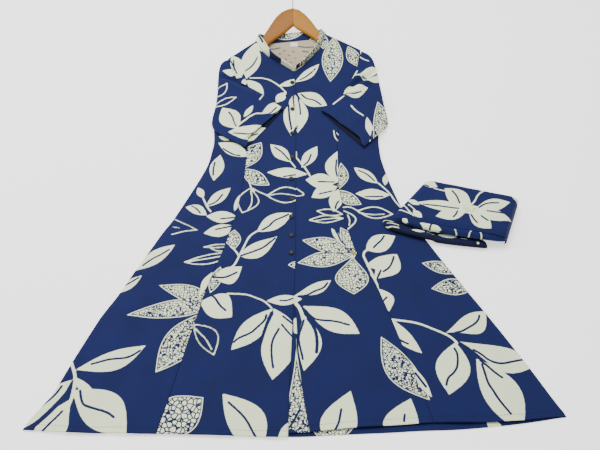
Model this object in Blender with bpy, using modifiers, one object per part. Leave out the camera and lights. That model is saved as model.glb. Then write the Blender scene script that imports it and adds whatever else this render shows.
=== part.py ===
"""A-line kurti on its wooden hanger, laid on its back, with the folded palazzo
that belongs to it resting half on the skirt. All tables are in centimetres."""
import math

import bmesh
import bpy
from mathutils import Vector

# Sizes that drive the set, in centimetres
CM = 0.01
CLOTH = 0.12
PRESSED = 0.22
GAP = 0.035
HEM_Y = -66.3
EDGE_HEIGHT = 0.29
LAP_WIDTH = 2.9
BUTTON_RADIUS = 0.58
BUTTON_HEIGHT = 0.26
HANGER_THICKNESS = 1.1
HANGER_TILT = 0.25
HOOK_RADIUS = 0.16

# Start from an empty file
for old in list(bpy.data.objects):
    bpy.data.objects.remove(old, do_unlink=True)


# Reading the short tables
def along(table, key, column=1):
    """Value of one column at a key, on straight lines between the rows."""
    rows = sorted(table)
    if key <= rows[0][0]:
        return rows[0][column]
    for low, high in zip(rows, rows[1:]):
        if key <= high[0]:
            part = (key - low[0]) / (high[0] - low[0])
            return low[column] + part * (high[column] - low[column])
    return rows[-1][column]


def mix(low, high, part):
    return low + (high - low) * part


def soft(part):
    """Eased step from 0 to 1."""
    part = min(1.0, max(0.0, part))
    return part * part * (3.0 - 2.0 * part)


# Outline of the body, each table: y, x
LEFT_SIDE = ((-65.3, -55.0), (-63.1, -53.8), (-57.6, -49.9), (-50.0, -46.9),
             (-39.0, -42.2), (-33.9, -39.2), (-25.5, -35.2), (-16.9, -30.9),
             (-13.4, -28.8), (-5.8, -25.3), (-0.9, -23.2), (3.8, -21.3),
             (10.2, -20.3), (18.5, -20.9))
RIGHT_SIDE = ((-62.4, 55.1), (-60.9, 54.1), (-56.4, 51.6), (-51.8, 49.1),
              (-42.7, 43.9), (-36.0, 39.9), (-32.1, 37.5), (-24.1, 32.7),
              (-20.2, 30.5), (-12.8, 26.3), (-9.0, 24.5), (-2.4, 22.4),
              (5.4, 20.6), (10.2, 20.3), (18.5, 20.8))
LEFT_SEAM = ((-66.3, -27.9), (-56.7, -25.5), (-44.7, -22.8), (-31.9, -19.7),
             (-20.9, -16.3), (-11.5, -14.0), (-1.6, -12.5), (8.2, -12.0),
             (16.0, -12.6), (22.0, -13.9), (26.0, -15.4))
RIGHT_SEAM = ((-63.6, 28.0), (-56.2, 25.7), (-47.1, 22.9), (-39.2, 20.5),
              (-30.8, 17.7), (-21.9, 13.4), (-15.1, 11.6), (-3.1, 10.1),
              (7.3, 10.1), (14.7, 10.7), (21.0, 12.6), (26.0, 15.2))
LAP_EDGE = ((-67.0, -1.5), (-54.5, -1.2), (-45.6, -0.9), (-35.1, -0.4),
            (-21.8, -0.1), (4.8, -0.1), (21.3, -0.1), (27.2, -0.3), (33.3, -0.7))
UNDER_SEAM = ((-66.1, 2.9), (-58.9, 1.7), (-52.1, 0.9), (-45.5, 0.4), (-40.1, 0.2),
              (-34.0, -0.8), (-22.0, -1.1), (20.0, -1.1), (33.3, -1.6))
LEFT_ARMHOLE = ((18.5, -20.9), (20.0, -19.0), (22.0, -17.4), (24.0, -16.2),
                (26.0, -15.4), (28.0, -15.1), (30.0, -15.3), (33.3, -16.6),
                (37.8, -18.0))
RIGHT_ARMHOLE = ((18.5, 20.8), (20.0, 19.2), (22.0, 17.4), (24.0, 16.0),
                 (26.0, 15.2), (28.0, 14.7), (30.6, 14.6), (35.1, 15.9),
                 (40.5, 16.8))
LEFT_NECK = ((33.2, -0.7), (34.8, -3.0), (36.7, -5.6), (38.2, -8.0),
             (40.3, -9.6), (43.0, -10.8))
RIGHT_NECK = ((33.2, -0.7), (35.1, 1.7), (37.6, 4.0), (40.0, 5.9),
              (42.4, 7.0), (45.1, 7.6))
# Hems of front and back, each: x, y
FRONT_HEM = ((-55.0, -65.3), (-47.2, -66.0), (-39.1, -66.2), (-27.9, -66.3),
             (-19.1, -66.5), (-9.1, -66.9), (-1.5, -67.1))
FRONT_HEM_LEFT = ((-1.9, -66.2), (2.9, -65.9), (9.9, -65.1), (21.0, -64.4),
                  (28.0, -63.8), (35.2, -63.9), (45.3, -63.5), (50.5, -62.8),
                  (55.1, -62.4))
BACK_HEM = ((-55.0, -65.2), (-27.9, -66.0), (-9.1, -66.6), (0.9, -66.8),
            (11.9, -66.2), (19.0, -65.9), (25.0, -65.5), (32.1, -65.3),
            (39.2, -64.7), (45.3, -64.0), (49.4, -63.4), (55.1, -62.4))
# Shoulder lines, each: x, y
LEFT_SHOULDER = ((-18.0, 37.8), (-10.8, 43.0))
RIGHT_SHOULDER = ((7.6, 45.1), (16.8, 40.5))
# Crown of the front: y, height over the middle, half width of the mound
CROWN = ((-67.0, 0.55, 56.5), (-56.0, 0.62, 51.5), (-37.0, 0.7, 42.2),
         (-20.0, 0.85, 31.8), (-7.0, 0.95, 24.6), (3.0, 1.15, 21.7),
         (13.0, 1.35, 21.0), (18.5, 1.5, 21.6), (24.0, 1.7, 22.6),
         (33.0, 2.35, 23.5), (38.0, 3.35, 24.5), (46.0, 5.2, 24.5))
# Soft folds of the skirt: x at the hem, x at the waist, width, height
SKIRT_FOLDS = ((-46.0, -18.5, 2.6, 0.26), (-35.0, -15.0, 2.2, 0.2),
               (-15.0, -7.5, 2.4, 0.16), (14.0, 6.0, 2.4, 0.18),
               (34.0, 15.5, 2.2, 0.22), (45.0, 18.5, 2.6, 0.26))


def body_left(y):
    return along(LEFT_SIDE if y < 18.5 else LEFT_ARMHOLE, y)


def body_right(y):
    return along(RIGHT_SIDE if y < 18.5 else RIGHT_ARMHOLE, y)


# How high the layers lie
def hanger_level(y):
    return 1.25 + HANGER_TILT * (y - 33.0)


def back_base(y):
    """Underside of the back: on the floor, then rising to the hanger."""
    rise = y - 32.2
    return 0.0 if rise < 0 else HANGER_TILT * rise * soft(0.35 + rise / 6.0)


def shoulder_depth(x, y):
    """Distance from the shoulder seam down into the body."""
    if x < -1.0:
        line, slope = LEFT_SHOULDER, -0.72
    else:
        line, slope = RIGHT_SHOULDER, 0.5
    (x0, y0), _ = line
    top = y0 + (x - x0) * (-slope)
    return (top - y) / math.sqrt(1.0 + slope * slope)


def mound(x, y):
    """Smooth top of the front, with its skirt folds."""
    crown = along(CROWN, y, 1)
    half = along(CROWN, y, 2)
    across = min(1.0, abs(x) / half)
    level = EDGE_HEIGHT + (crown - EDGE_HEIGHT) * math.sqrt(1.0 - across ** 4)
    skirt = soft((4.0 - y) / 60.0)
    down = (4.0 - y) / 70.0
    for hem_x, waist_x, width, height in SKIRT_FOLDS:
        middle = mix(waist_x, hem_x, down)
        spread = width * mix(0.6, 1.4, skirt)
        level += height * skirt * math.exp(-((x - middle) / spread) ** 2)
    return level


def arm_ridge(x, y):
    """Lift where the cloth passes over a hanger arm."""
    if y < 31.0:
        return 0.0
    depth = shoulder_depth(x, y)
    reach = soft((19.0 - abs(x)) / 4.0)
    lift = 0.09 if x < 0 else 0.21
    return lift * reach * math.exp(-((depth - 2.0) / 1.9) ** 2)


def front_top(x, y):
    """Upper face of the front panels."""
    level = mound(x, y) + arm_ridge(x, y)
    depth = shoulder_depth(x, y)
    if depth < 1.1 and y > 34.0 and (x < -10.0 or x > 6.5):
        turn = 1.0 - max(0.0, depth) / 1.1
        drop = 1.0 - math.sqrt(1.0 - turn * turn)
        level = mix(level, hanger_level(y) + CLOTH, drop)
    return level


def lap_top(x, y):
    """The top lap rides over the button band below it."""
    away = along(LAP_EDGE, y) - x
    return front_top(x, y) + (CLOTH + GAP) * (1.0 - soft((away - LAP_WIDTH - 0.3) / 2.5))


def back_top(x, y):
    level = back_base(y) + CLOTH
    depth = shoulder_depth(x, y)
    if depth < 1.1 and y > 34.0 and (x < -9.5 or x > 6.0):
        turn = 1.0 - max(0.0, depth) / 1.1
        rise = 1.0 - math.sqrt(1.0 - turn * turn)
        level = mix(level, hanger_level(y) - GAP, rise)
    return level


# Materials, one for each kind of stuff
STUFFS = {
    "printed_cotton": ((0.022, 0.034, 0.135), 0.85, 0.0),
    "hanger_wood": ((0.56, 0.27, 0.075), 0.42, 0.0),
    "hook_steel": ((0.62, 0.62, 0.62), 0.28, 1.0),
    "button_resin": ((0.075, 0.062, 0.03), 0.35, 0.0),
    "label_white": ((0.8, 0.8, 0.78), 0.8, 0.0),
}


def stuff(name, piece):
    colour, rough, metal = STUFFS[name]
    made = bpy.data.materials.new(name + "_" + piece)
    made.use_nodes = True
    shader = made.node_tree.nodes["Principled BSDF"]
    shader.inputs["Base Color"].default_value = (*colour, 1.0)
    shader.inputs["Roughness"].default_value = rough
    shader.inputs["Metallic"].default_value = metal
    return made


def keep(name, mesh, material, smooth=True):
    """Close a mesh as a named solid of the set."""
    bmesh.ops.remove_doubles(mesh, verts=mesh.verts, dist=1e-6)
    bmesh.ops.recalc_face_normals(mesh, faces=mesh.faces)
    data = bpy.data.meshes.new(name)
    mesh.to_mesh(data)
    mesh.free()
    for face in data.polygons:
        face.use_smooth = smooth
    data.materials.append(stuff(material, name))
    body = bpy.data.objects.new(name, data)
    bpy.context.scene.collection.objects.link(body)
    return body


# Cloth cut as rows from edge to edge
def sheet(name, rows, shares, top, hem=None, thick=CLOTH, material="printed_cotton"):
    """Each row: left x, left y, right x, right y. Shares place the columns."""
    mesh = bmesh.new()
    upper = []
    lower = []
    for left_x, left_y, right_x, right_y in rows:
        line = []
        under = []
        for share in shares:
            x = mix(left_x, right_x, share)
            y = mix(left_y, right_y, share)
            if hem and not upper:
                y = along(hem, x)
            z = top(x, y)
            line.append(mesh.verts.new((x * CM, y * CM, z * CM)))
            under.append(mesh.verts.new((x * CM, y * CM, (z - thick) * CM)))
        upper.append(line)
        lower.append(under)
    for grid in (upper, lower):
        for first, second in zip(grid, grid[1:]):
            for col in range(len(shares) - 1):
                mesh.faces.new((first[col], first[col + 1], second[col + 1], second[col]))
    rim_top = upper[0] + [line[-1] for line in upper[1:]]
    rim_top += upper[-1][-2::-1] + [line[0] for line in upper[-2:0:-1]]
    rim_low = lower[0] + [line[-1] for line in lower[1:]]
    rim_low += lower[-1][-2::-1] + [line[0] for line in lower[-2:0:-1]]
    count = len(rim_top)
    for at in range(count):
        after = (at + 1) % count
        mesh.faces.new((rim_top[at], rim_top[after], rim_low[after], rim_low[at]))
    return keep(name, mesh, material)


# Forms drawn through rings of equal count
def loft(name, rings, material, capped=True, wall=0.0):
    mesh = bmesh.new()
    lines = [[mesh.verts.new(Vector(point) * CM) for point in ring] for ring in rings]
    for first, second in zip(lines, lines[1:]):
        count = len(first)
        for at in range(count):
            after = (at + 1) % count
            mesh.faces.new((first[at], first[after], second[after], second[at]))
    if capped:
        mesh.faces.new(lines[0])
        mesh.faces.new(lines[-1])
    body = keep(name, mesh, material)
    if wall:
        shell = body.modifiers.new("wall", "SOLIDIFY")
        shell.thickness = wall * CM
        shell.offset = -1.0
        shell.use_even_offset = False
    return body


# The rows shared by both halves of the front, so their seams match
SKIRT_ROWS = (-61.5, -56.0, -50.0, -44.0, -38.0, -32.0, -26.0, -20.0, -14.0, -8.0,
              -2.0, 4.0, 10.0, 14.5, 18.5)
CHEST_ROWS = (20.5, 22.5, 24.5, 26.0)
NECK_ROWS = (28.0, 30.5, 33.0)
TWO_ENDS = (0.0, 0.025, 0.08, 0.18, 0.32, 0.5, 0.68, 0.82, 0.92, 0.975, 1.0)
FROM_LEFT = (0.0, 0.02, 0.055, 0.11, 0.2, 0.34, 0.5, 0.68, 0.85, 1.0)
FROM_RIGHT = tuple(1.0 - share for share in reversed(FROM_LEFT))
SEAM = GAP / 2.0

# Back panel, whole from hem to neck
back_rows = [(-55.0, -65.3, 55.1, -62.4)]
for row_y in SKIRT_ROWS + CHEST_ROWS + NECK_ROWS + (35.0, 37.0):
    back_rows.append((body_left(row_y), row_y, body_right(row_y), row_y))
back_rows.append((-18.0, 37.8, 17.0, 39.3))
back_rows.append((-15.8, 39.4, 16.8, 40.5))
back_rows.append((-13.8, 40.8, 13.0, 42.4))
back_rows.append((-12.0, 42.1, 10.0, 43.9))
back_rows.append((-10.8, 43.0, 7.6, 45.1))
BACK_SHARES = (0.0, 0.03, 0.08, 0.16, 0.25, 0.36, 0.45, 0.55, 0.64, 0.75, 0.84, 0.92, 0.97, 1.0)
sheet("back_panel", back_rows, BACK_SHARES, back_top, hem=BACK_HEM)

# Front panels, the wearer's right half laps over the left
rows = [(-27.9 + SEAM, HEM_Y, -1.5, -67.0)]
for row_y in SKIRT_ROWS + CHEST_ROWS:
    rows.append((along(LEFT_SEAM, row_y) + SEAM, row_y, along(LAP_EDGE, row_y), row_y))
for row_y in NECK_ROWS:
    rows.append((body_left(row_y), row_y, along(LAP_EDGE, row_y), row_y))
for row_y in (34.8, 36.7, 37.8):
    rows.append((body_left(row_y), row_y, along(LEFT_NECK, row_y), row_y))
for row_y in (39.0, 40.5, 42.0, 42.7):
    shoulder_x = -18.0 + (row_y - 37.8) / 0.722
    rows.append((shoulder_x, row_y, along(LEFT_NECK, row_y), row_y))
sheet("front_centre_right", rows, TWO_ENDS, lap_top, hem=FRONT_HEM)

rows = [(2.9 + SEAM, -66.0, 28.0 - SEAM, -63.7)]
for row_y in SKIRT_ROWS + CHEST_ROWS:
    rows.append((along(UNDER_SEAM, row_y) + SEAM, row_y,
                 along(RIGHT_SEAM, row_y) - SEAM, row_y))
for row_y in NECK_ROWS:
    rows.append((along(UNDER_SEAM, row_y) + SEAM, row_y, body_right(row_y), row_y))
for row_y in (35.1, 37.6, 40.0, 40.5):
    rows.append((along(RIGHT_NECK, row_y), row_y, body_right(row_y), row_y))
for row_y in (41.5, 43.0, 44.3, 44.8):
    shoulder_x = 16.8 - (row_y - 40.5) / 0.5
    rows.append((along(RIGHT_NECK, row_y), row_y, shoulder_x, row_y))
sheet("front_centre_left", rows, TWO_ENDS, front_top, hem=FRONT_HEM_LEFT)

rows = [(-55.0, -65.3, -27.9 - SEAM, HEM_Y)]
for row_y in SKIRT_ROWS + CHEST_ROWS:
    rows.append((body_left(row_y), row_y, along(LEFT_SEAM, row_y) - SEAM, row_y))
rows[-1] = (-15.7, 26.0, -15.4 - SEAM, 26.0)
sheet("front_side_right", rows, FROM_LEFT, front_top, hem=FRONT_HEM)

rows = [(28.0 + SEAM, -63.7, 55.1, -62.4)]
for row_y in SKIRT_ROWS + CHEST_ROWS:
    rows.append((along(RIGHT_SEAM, row_y) + SEAM, row_y, body_right(row_y), row_y))
rows[-1] = (15.2 + SEAM, 26.0, 15.5, 26.0)
sheet("front_side_left", rows, FROM_RIGHT, front_top, hem=FRONT_HEM_LEFT)

# Button band of the under half, its own strip
rows = [(-1.9, -66.5, 2.9 - SEAM, -66.0)]
for row_y in SKIRT_ROWS + CHEST_ROWS + NECK_ROWS:
    seam_x = along(UNDER_SEAM, row_y)
    rows.append((along(LAP_EDGE, row_y) - LAP_WIDTH, row_y, seam_x - SEAM, row_y))
BAND_SHARES = (0.0, 0.3, 0.65, 1.0)
sheet("underlap_band", rows, BAND_SHARES, front_top, hem=FRONT_HEM_LEFT)

# Buttons down the lap: x, y
BUTTONS = ((-1.1, 29.4), (-1.0, 20.6), (-1.0, 12.7), (-1.0, 5.0), (-1.2, -1.5),
           (-1.1, -7.6), (-1.1, -12.7), (-1.1, -18.0), (-1.1, -22.8))
# Half of a button's section: share of the radius, share of the height
BUTTON_SECTION = ((0.0, 0.0), (0.76, 0.0), (0.97, 0.27), (1.0, 0.58), (0.9, 0.92),
                  (0.72, 1.0), (0.59, 0.73), (0.0, 0.62))
for place, (button_x, button_y) in enumerate(BUTTONS, start=1):
    mesh = bmesh.new()
    seat = lap_top(button_x, button_y) + GAP + 0.02
    line = []
    for share_r, share_h in BUTTON_SECTION:
        point = (share_r * BUTTON_RADIUS * CM, 0.0, share_h * BUTTON_HEIGHT * CM)
        line.append(mesh.verts.new(point))
    edges = [mesh.edges.new(pair) for pair in zip(line, line[1:])]
    bmesh.ops.spin(mesh, geom=line + edges, cent=(0, 0, 0), axis=(0, 0, 1),
                   angle=math.tau, steps=14, use_merge=True)
    bmesh.ops.translate(mesh, verts=mesh.verts,
                        vec=Vector((button_x, button_y, seat)) * CM)
    keep("button_%d" % place, mesh, "button_resin")

# Standing collar, one band round the neck: base x, y, z and top x, y, z
COLLAR = ((-1.25, 33.8, 2.5, -1.0, 33.4, 3.9),
          (-1.9, 34.23, 2.55, -1.75, 34.0, 4.35),
          (-3.0, 35.02, 2.65, -3.0, 34.8, 4.6),
          (-5.35, 36.86, 2.95, -5.2, 36.4, 4.9),
          (-7.72, 38.43, 3.35, -6.8, 38.0, 5.2),
          (-9.36, 40.3, 3.9, -7.9, 40.1, 5.7),
          (-10.34, 42.4, 4.45, -9.0, 42.4, 6.2),
          (-10.95, 43.35, 4.3, -9.8, 44.3, 5.9),
          (-10.7, 43.6, 3.5, -9.9, 45.2, 4.7),
          (-9.4, 43.3, 3.0, -9.0, 45.6, 3.65),
          (-7.0, 43.52, 2.98, -6.7, 45.8, 3.45),
          (-3.2, 43.96, 3.0, -3.3, 46.3, 3.5),
          (1.0, 44.44, 3.1, 0.9, 46.8, 3.6),
          (4.6, 44.86, 3.22, 4.3, 47.2, 3.75),
          (6.6, 45.2, 3.4, 5.9, 47.3, 4.2),
          (7.75, 45.75, 4.1, 6.6, 47.1, 5.4),
          (7.52, 45.5, 4.85, 6.4, 45.8, 6.5),
          (7.0, 43.9, 4.75, 6.0, 43.6, 6.5),
          (6.64, 42.22, 4.3, 5.8, 41.6, 6.1),
          (5.7, 40.25, 3.8, 5.0, 39.6, 5.6),
          (3.96, 37.97, 3.15, 3.4, 37.3, 5.0),
          (1.76, 35.57, 2.75, 1.4, 35.0, 4.65),
          (0.45, 34.72, 2.6, 0.5, 34.2, 4.3),
          (-0.45, 33.66, 2.55, -0.5, 33.4, 3.9))
rings = []
last = len(COLLAR) - 1
for at, (bx, by, bz, tx, ty, tz) in enumerate(COLLAR):
    before = COLLAR[max(0, at - 1)]
    after = COLLAR[min(last, at + 1)]
    base = Vector((bx, by, bz))
    crest = Vector((tx, ty, tz))
    run = Vector((after[0] - before[0], after[1] - before[1], after[2] - before[2]))
    out = run.cross(crest - base).normalized() * (PRESSED / 2.0)
    rise = crest - base
    rings.append([base - out, base + out, base + rise * 0.35 + out, base + rise * 0.7 + out,
                  base + rise * 0.93 + out * 0.9, crest + out * 0.3, crest - out * 0.3,
                  base + rise * 0.93 - out * 0.9, base + rise * 0.7 - out,
                  base + rise * 0.35 - out])
loft("collar_band", rings, "printed_cotton")

# Blank neck label on the inside of the back
rows = [(-1.7, y, 0.3, y + 0.1) for y in (42.15, 42.8, 43.45)]


def label_top(x, y):
    return back_top(x, y) + GAP + 0.08


sheet("neck_label", rows, (0.0, 0.5, 1.0), label_top, thick=0.08, material="label_white")

# Sleeves, open tubes fanned from armhole to cuff
# Left sleeve stations: outer x, outer y, inner x, inner y, height, lift at outer end
LEFT_SLEEVE = ((-18.05, 37.3, -15.45, 29.9, 0.5, -0.4), (-19.4, 36.5, -14.5, 28.7, 0.7, -0.3),
               (-20.2, 34.4, -13.0, 27.8, 0.85, -0.1), (-20.3, 30.4, -11.4, 26.8, 0.95, 0.0),
               (-20.2, 26.0, -9.8, 25.8, 1.0, 0.0), (-20.4, 21.6, -8.3, 24.8, 1.0, 0.0),
               (-21.1, 18.0, -7.0, 23.7, 0.95, 0.0), (-21.3, 15.4, -5.8, 22.6, 0.9, 0.0),
               (-20.1, 13.2, -4.9, 21.8, 0.85, 0.0), (-16.3, 10.4, -4.0, 21.1, 0.8, 0.0),
               (-11.8, 7.6, -3.1, 20.3, 0.8, 0.0))
RIGHT_SLEEVE = ((17.05, 39.9, 14.85, 30.7, 0.5, -0.4), (19.2, 38.7, 13.8, 29.1, 0.7, -0.3),
                (20.4, 36.2, 12.6, 27.4, 0.85, -0.1), (21.1, 31.3, 11.3, 25.4, 0.95, 0.0),
                (21.8, 26.0, 10.2, 23.4, 1.0, 0.0), (22.3, 21.4, 9.2, 21.9, 1.0, 0.0),
                (23.1, 17.8, 8.4, 21.1, 0.95, 0.0), (22.9, 15.2, 7.7, 20.6, 0.9, 0.0),
                (19.8, 11.9, 7.0, 20.1, 0.85, 0.0), (16.1, 7.6, 6.2, 19.6, 0.8, 0.0))
ACROSS = (0.0, 0.06, 0.16, 0.3, 0.46, 0.62, 0.78, 0.9, 0.96, 1.0)


def sleeve(name, stations, bow):
    rings = []
    for at, (ox, oy, ix, iy, high, lift) in enumerate(stations):
        outer = Vector((ox, oy))
        inner = Vector((ix, iy))
        side = Vector((oy - iy, ix - ox)).normalized() * (bow if at == 0 else 0.0)
        half = high / 2.0
        inset = half / (outer - inner).length
        top_line = []
        low_line = []
        for share in ACROSS:
            spot = outer.lerp(inner, mix(inset, 1.0 - inset, share))
            spot = spot + side * 4.0 * share * (1.0 - share)
            level = mound(spot.x * 0.97, spot.y) + arm_ridge(spot.x, spot.y) + 0.16
            level += lift * (1.0 - soft(share / 0.75))
            top_line.append(Vector((spot.x, spot.y, level + high)))
            low_line.append(Vector((spot.x, spot.y, level)))
        way = (inner - outer).normalized()
        ends = []
        for line, reach in ((top_line[-1], 1.0), (top_line[0], -1.0)):
            middle = Vector((line.x, line.y, line.z - half))
            bend = []
            for turn in (45, 90, 135):
                angle = math.radians(turn)
                shift = way * (reach * half * math.sin(angle))
                rise = half * math.cos(angle)
                bend.append(middle + Vector((shift.x, shift.y, rise)))
            ends.append(bend)
        rings.append(top_line + ends[0] + low_line[::-1] + ends[1][::-1])
    return loft(name, rings, "printed_cotton", capped=False, wall=CLOTH)


sleeve("sleeve_right", LEFT_SLEEVE, -0.3)
sleeve("sleeve_left", RIGHT_SLEEVE, 0.35)

# Hanger arms, two halves met at a mitre: upper edge x, y and lower edge x, y
LEFT_ARM = ((-1.07, 53.0, -0.87, 47.8), (-2.5, 52.6, -1.7, 47.0), (-3.9, 51.9, -2.8, 45.9),
            (-5.4, 50.4, -4.2, 44.8), (-6.8, 48.1, -5.7, 43.6), (-8.0, 45.9, -6.9, 42.6),
            (-9.1, 44.0, -8.0, 41.4), (-10.5, 42.2, -9.3, 40.0), (-12.6, 40.3, -11.2, 38.3),
            (-14.8, 38.6, -13.5, 36.7), (-16.0, 37.6, -14.9, 35.8))
RIGHT_ARM = ((-1.03, 53.0, -0.83, 47.8), (0.6, 52.5, 0.1, 46.9), (2.3, 51.1, 1.4, 46.1),
             (3.9, 49.1, 2.9, 45.1), (5.3, 46.9, 4.5, 44.0), (6.5, 45.1, 5.7, 42.9),
             (7.9, 43.6, 7.0, 41.6), (9.7, 42.4, 8.7, 40.3), (12.0, 41.0, 11.0, 38.9),
             (14.4, 39.7, 13.6, 37.7), (15.7, 38.9, 14.9, 37.1))
# Rounded bar section: share across, share of the half thickness
BAR = ((0.0, 0.45), (0.08, 0.82), (0.25, 1.0), (0.75, 1.0), (0.92, 0.82), (1.0, 0.45),
       (1.0, -0.45), (0.92, -0.82), (0.75, -1.0), (0.25, -1.0), (0.08, -0.82), (0.0, -0.45))


def hanger_arm(name, stations):
    rings = []
    last = len(stations) - 1
    for at, (ux, uy, lx, ly) in enumerate(stations):
        shrink = 0.55 if at == last else 1.0
        ring = []
        for share, high in BAR:
            x = mix(ux, lx, 0.5 + (share - 0.5) * shrink)
            y = mix(uy, ly, 0.5 + (share - 0.5) * shrink)
            z = hanger_level(y) + high * shrink * HANGER_THICKNESS / 2.0
            ring.append((x, y, z))
        rings.append(ring)
    return loft(name, rings, "hanger_wood")


hanger_arm("hanger_arm_left", LEFT_ARM)
hanger_arm("hanger_arm_right", RIGHT_ARM)

# Steel hook, bent in the hanger's own plane: along the plane x, y
HOOK_BEND = 3.1
hook_line = [(-1.05, 53.06), (-1.05, 55.5), (-1.05, 57.6), (-1.4, 59.2), (-2.2, 60.6)]
for turn in range(200, -40, -20):
    angle = math.radians(turn)
    hook_line.append((0.4 + HOOK_BEND * math.cos(angle), 63.85 + HOOK_BEND * math.sin(angle)))
rings = []
for at, (hx, hy) in enumerate(hook_line):
    ahead = hook_line[min(len(hook_line) - 1, at + 1)]
    behind = hook_line[max(0, at - 1)]
    along_x = ahead[0] - behind[0]
    along_y = ahead[1] - behind[1]
    size = math.hypot(along_x, along_y)
    ring = []
    for turn in range(0, 360, 45):
        angle = math.radians(turn)
        reach = HOOK_RADIUS * math.cos(angle)
        y = hy + reach * along_x / size
        x = hx - reach * along_y / size
        ring.append((x, y, hanger_level(hy) + HOOK_RADIUS * math.sin(angle)))
    rings.append(ring)
loft("hanger_hook", rings, "hook_steel")

# Folded palazzo: corners of the heap, each: back x, back y, front x, front y
HEAP_LEFT = (31.0, -3.9, 23.2, -13.5)
HEAP_RIGHT = (51.0, -8.9, 47.4, -18.55)
HEAP_TOP = 3.38


def ground(x, y):
    """What the heap rests on: the floor, or the skirt where it lies over it."""
    past = x - along(RIGHT_SIDE, y)
    on_skirt = mound(min(x, along(RIGHT_SIDE, y)) * 0.98, y) + 0.08
    return on_skirt * (1.0 - soft((past - 0.7) / 1.5))


def heap_spot(across, down):
    left = Vector((mix(HEAP_LEFT[0], HEAP_LEFT[2], down), mix(HEAP_LEFT[1], HEAP_LEFT[3], down)))
    right = Vector((mix(HEAP_RIGHT[0], HEAP_RIGHT[2], down), mix(HEAP_RIGHT[1], HEAP_RIGHT[3], down)))
    return left.lerp(right, across)


CORE_ACROSS = (0.0, 0.012, 0.035, 0.07, 0.11, 0.15, 0.19, 0.24, 0.3, 0.4, 0.52, 0.64, 0.76,
               0.86, 0.93, 0.965, 0.985, 1.0)
CORE_DOWN = (0.0, 0.02, 0.07, 0.16, 0.3, 0.45, 0.6, 0.75, 0.88, 0.95, 0.985, 1.0)
rings = []
for across in CORE_ACROSS:
    out = abs(2.0 * across - 1.0)
    side = math.sqrt(max(0.0, 1.0 - out ** 14))
    side = max(side, 0.25)
    upper = []
    lower = []
    for down in CORE_DOWN:
        rim = math.sqrt(max(0.0, 1.0 - abs(2.0 * down - 1.0) ** 10))
        rim = max(rim, 0.3)
        spot = heap_spot(across, down)
        base = ground(spot.x, spot.y)
        middle = (base + HEAP_TOP) / 2.0
        top = middle + (HEAP_TOP - middle) * rim * side
        upper.append((spot.x, spot.y, top))
        lower.append((spot.x, spot.y, base if rim * side > 0.4 else base + 0.25 * (1.0 - rim * side)))
    rings.append(upper + lower[::-1])
loft("palazzo_core", rings, "printed_cotton")

# Top layer of the heap, turned down over its right end: across, out, height
TOP_RUN = ((-0.012, 0.0, 2.95), (0.02, 0.0, 3.42), (0.08, 0.0, 3.5), (0.2, 0.0, 3.48),
           (0.34, 0.0, 3.52), (0.5, 0.0, 3.5), (0.66, 0.0, 3.46), (0.8, 0.0, 3.5),
           (0.92, 0.0, 3.48), (0.985, 0.0, 3.36), (1.0, 0.35, 3.0), (1.0, 0.75, 2.3),
           (1.0, 0.95, 1.5), (1.0, 0.85, 0.7), (1.0, 0.65, 0.34))
TOP_DOWN = (-0.035, -0.01, 0.04, 0.12, 0.25, 0.4, 0.55, 0.7, 0.85, 0.95, 1.0)
mesh = bmesh.new()
grid = []
for down in TOP_DOWN:
    line = []
    for across, out, high in TOP_RUN:
        spot = heap_spot(across, down)
        edge = 0.0
        if down < 0.04:
            edge = (0.04 - down) / 0.075
        level = high - 0.55 * edge * edge * min(1.0, high / 3.0)
        line.append(mesh.verts.new(Vector((spot.x + out, spot.y - out * 0.2, level)) * CM))
    grid.append(line)
for first, second in zip(grid, grid[1:]):
    for col in range(len(TOP_RUN) - 1):
        mesh.faces.new((first[col], first[col + 1], second[col + 1], second[col]))
top_fold = keep("palazzo_top_fold", mesh, "printed_cotton")
shell = top_fold.modifiers.new("wall", "SOLIDIFY")
shell.thickness = PRESSED * CM
shell.offset = 1.0

# Rolled layers along the front edge: x, y, height of the middle, half depth, half height
UPPER_ROLL = ((23.6, -14.5, 2.95, 0.5, 0.25), (24.1, -14.8, 2.93, 0.95, 0.5),
              (25.6, -15.3, 2.86, 1.2, 0.66), (28.5, -16.1, 2.64, 1.25, 0.74),
              (32.5, -17.0, 2.5, 1.25, 0.85), (37.0, -17.9, 2.5, 1.25, 0.85),
              (41.5, -18.7, 2.45, 1.25, 0.83), (45.0, -19.3, 2.35, 1.15, 0.8),
              (47.0, -19.6, 2.2, 0.95, 0.65), (47.6, -19.7, 2.1, 0.5, 0.3))
LOWER_ROLL = ((20.1, -14.9, 0.0, 0.6, 0.3), (20.6, -15.1, 0.0, 1.1, 0.55),
              (22.0, -15.6, 0.0, 1.4, 0.64), (24.5, -16.4, 0.0, 1.5, 0.66),
              (27.0, -17.2, 0.0, 1.5, 0.66), (30.0, -18.0, 0.0, 1.5, 0.74),
              (33.5, -18.7, 0.0, 1.5, 0.82), (37.5, -19.3, 0.0, 1.45, 0.82),
              (41.5, -19.9, 0.0, 1.4, 0.8), (44.0, -20.3, 0.0, 1.35, 0.78),
              (45.6, -20.5, 0.0, 1.05, 0.62), (46.1, -20.6, 0.0, 0.6, 0.32))


def roll(name, stations, rests):
    rings = []
    for x, y, middle, deep, high in stations:
        ring = []
        for turn in range(0, 360, 30):
            angle = math.radians(turn)
            spot_x = x - 0.2 * deep * math.cos(angle)
            spot_y = y + deep * math.cos(angle)
            if rests:
                level = ground(spot_x, spot_y) + high + high * math.sin(angle)
                if math.sin(angle) < -0.8:
                    level = ground(spot_x, spot_y)
            else:
                level = middle + high * math.sin(angle)
            ring.append((spot_x, spot_y, level))
        rings.append(ring)
    return loft(name, rings, "printed_cotton")


roll("palazzo_front_roll_upper", UPPER_ROLL, False)
roll("palazzo_front_roll_lower", LOWER_ROLL, True)
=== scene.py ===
import math

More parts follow.
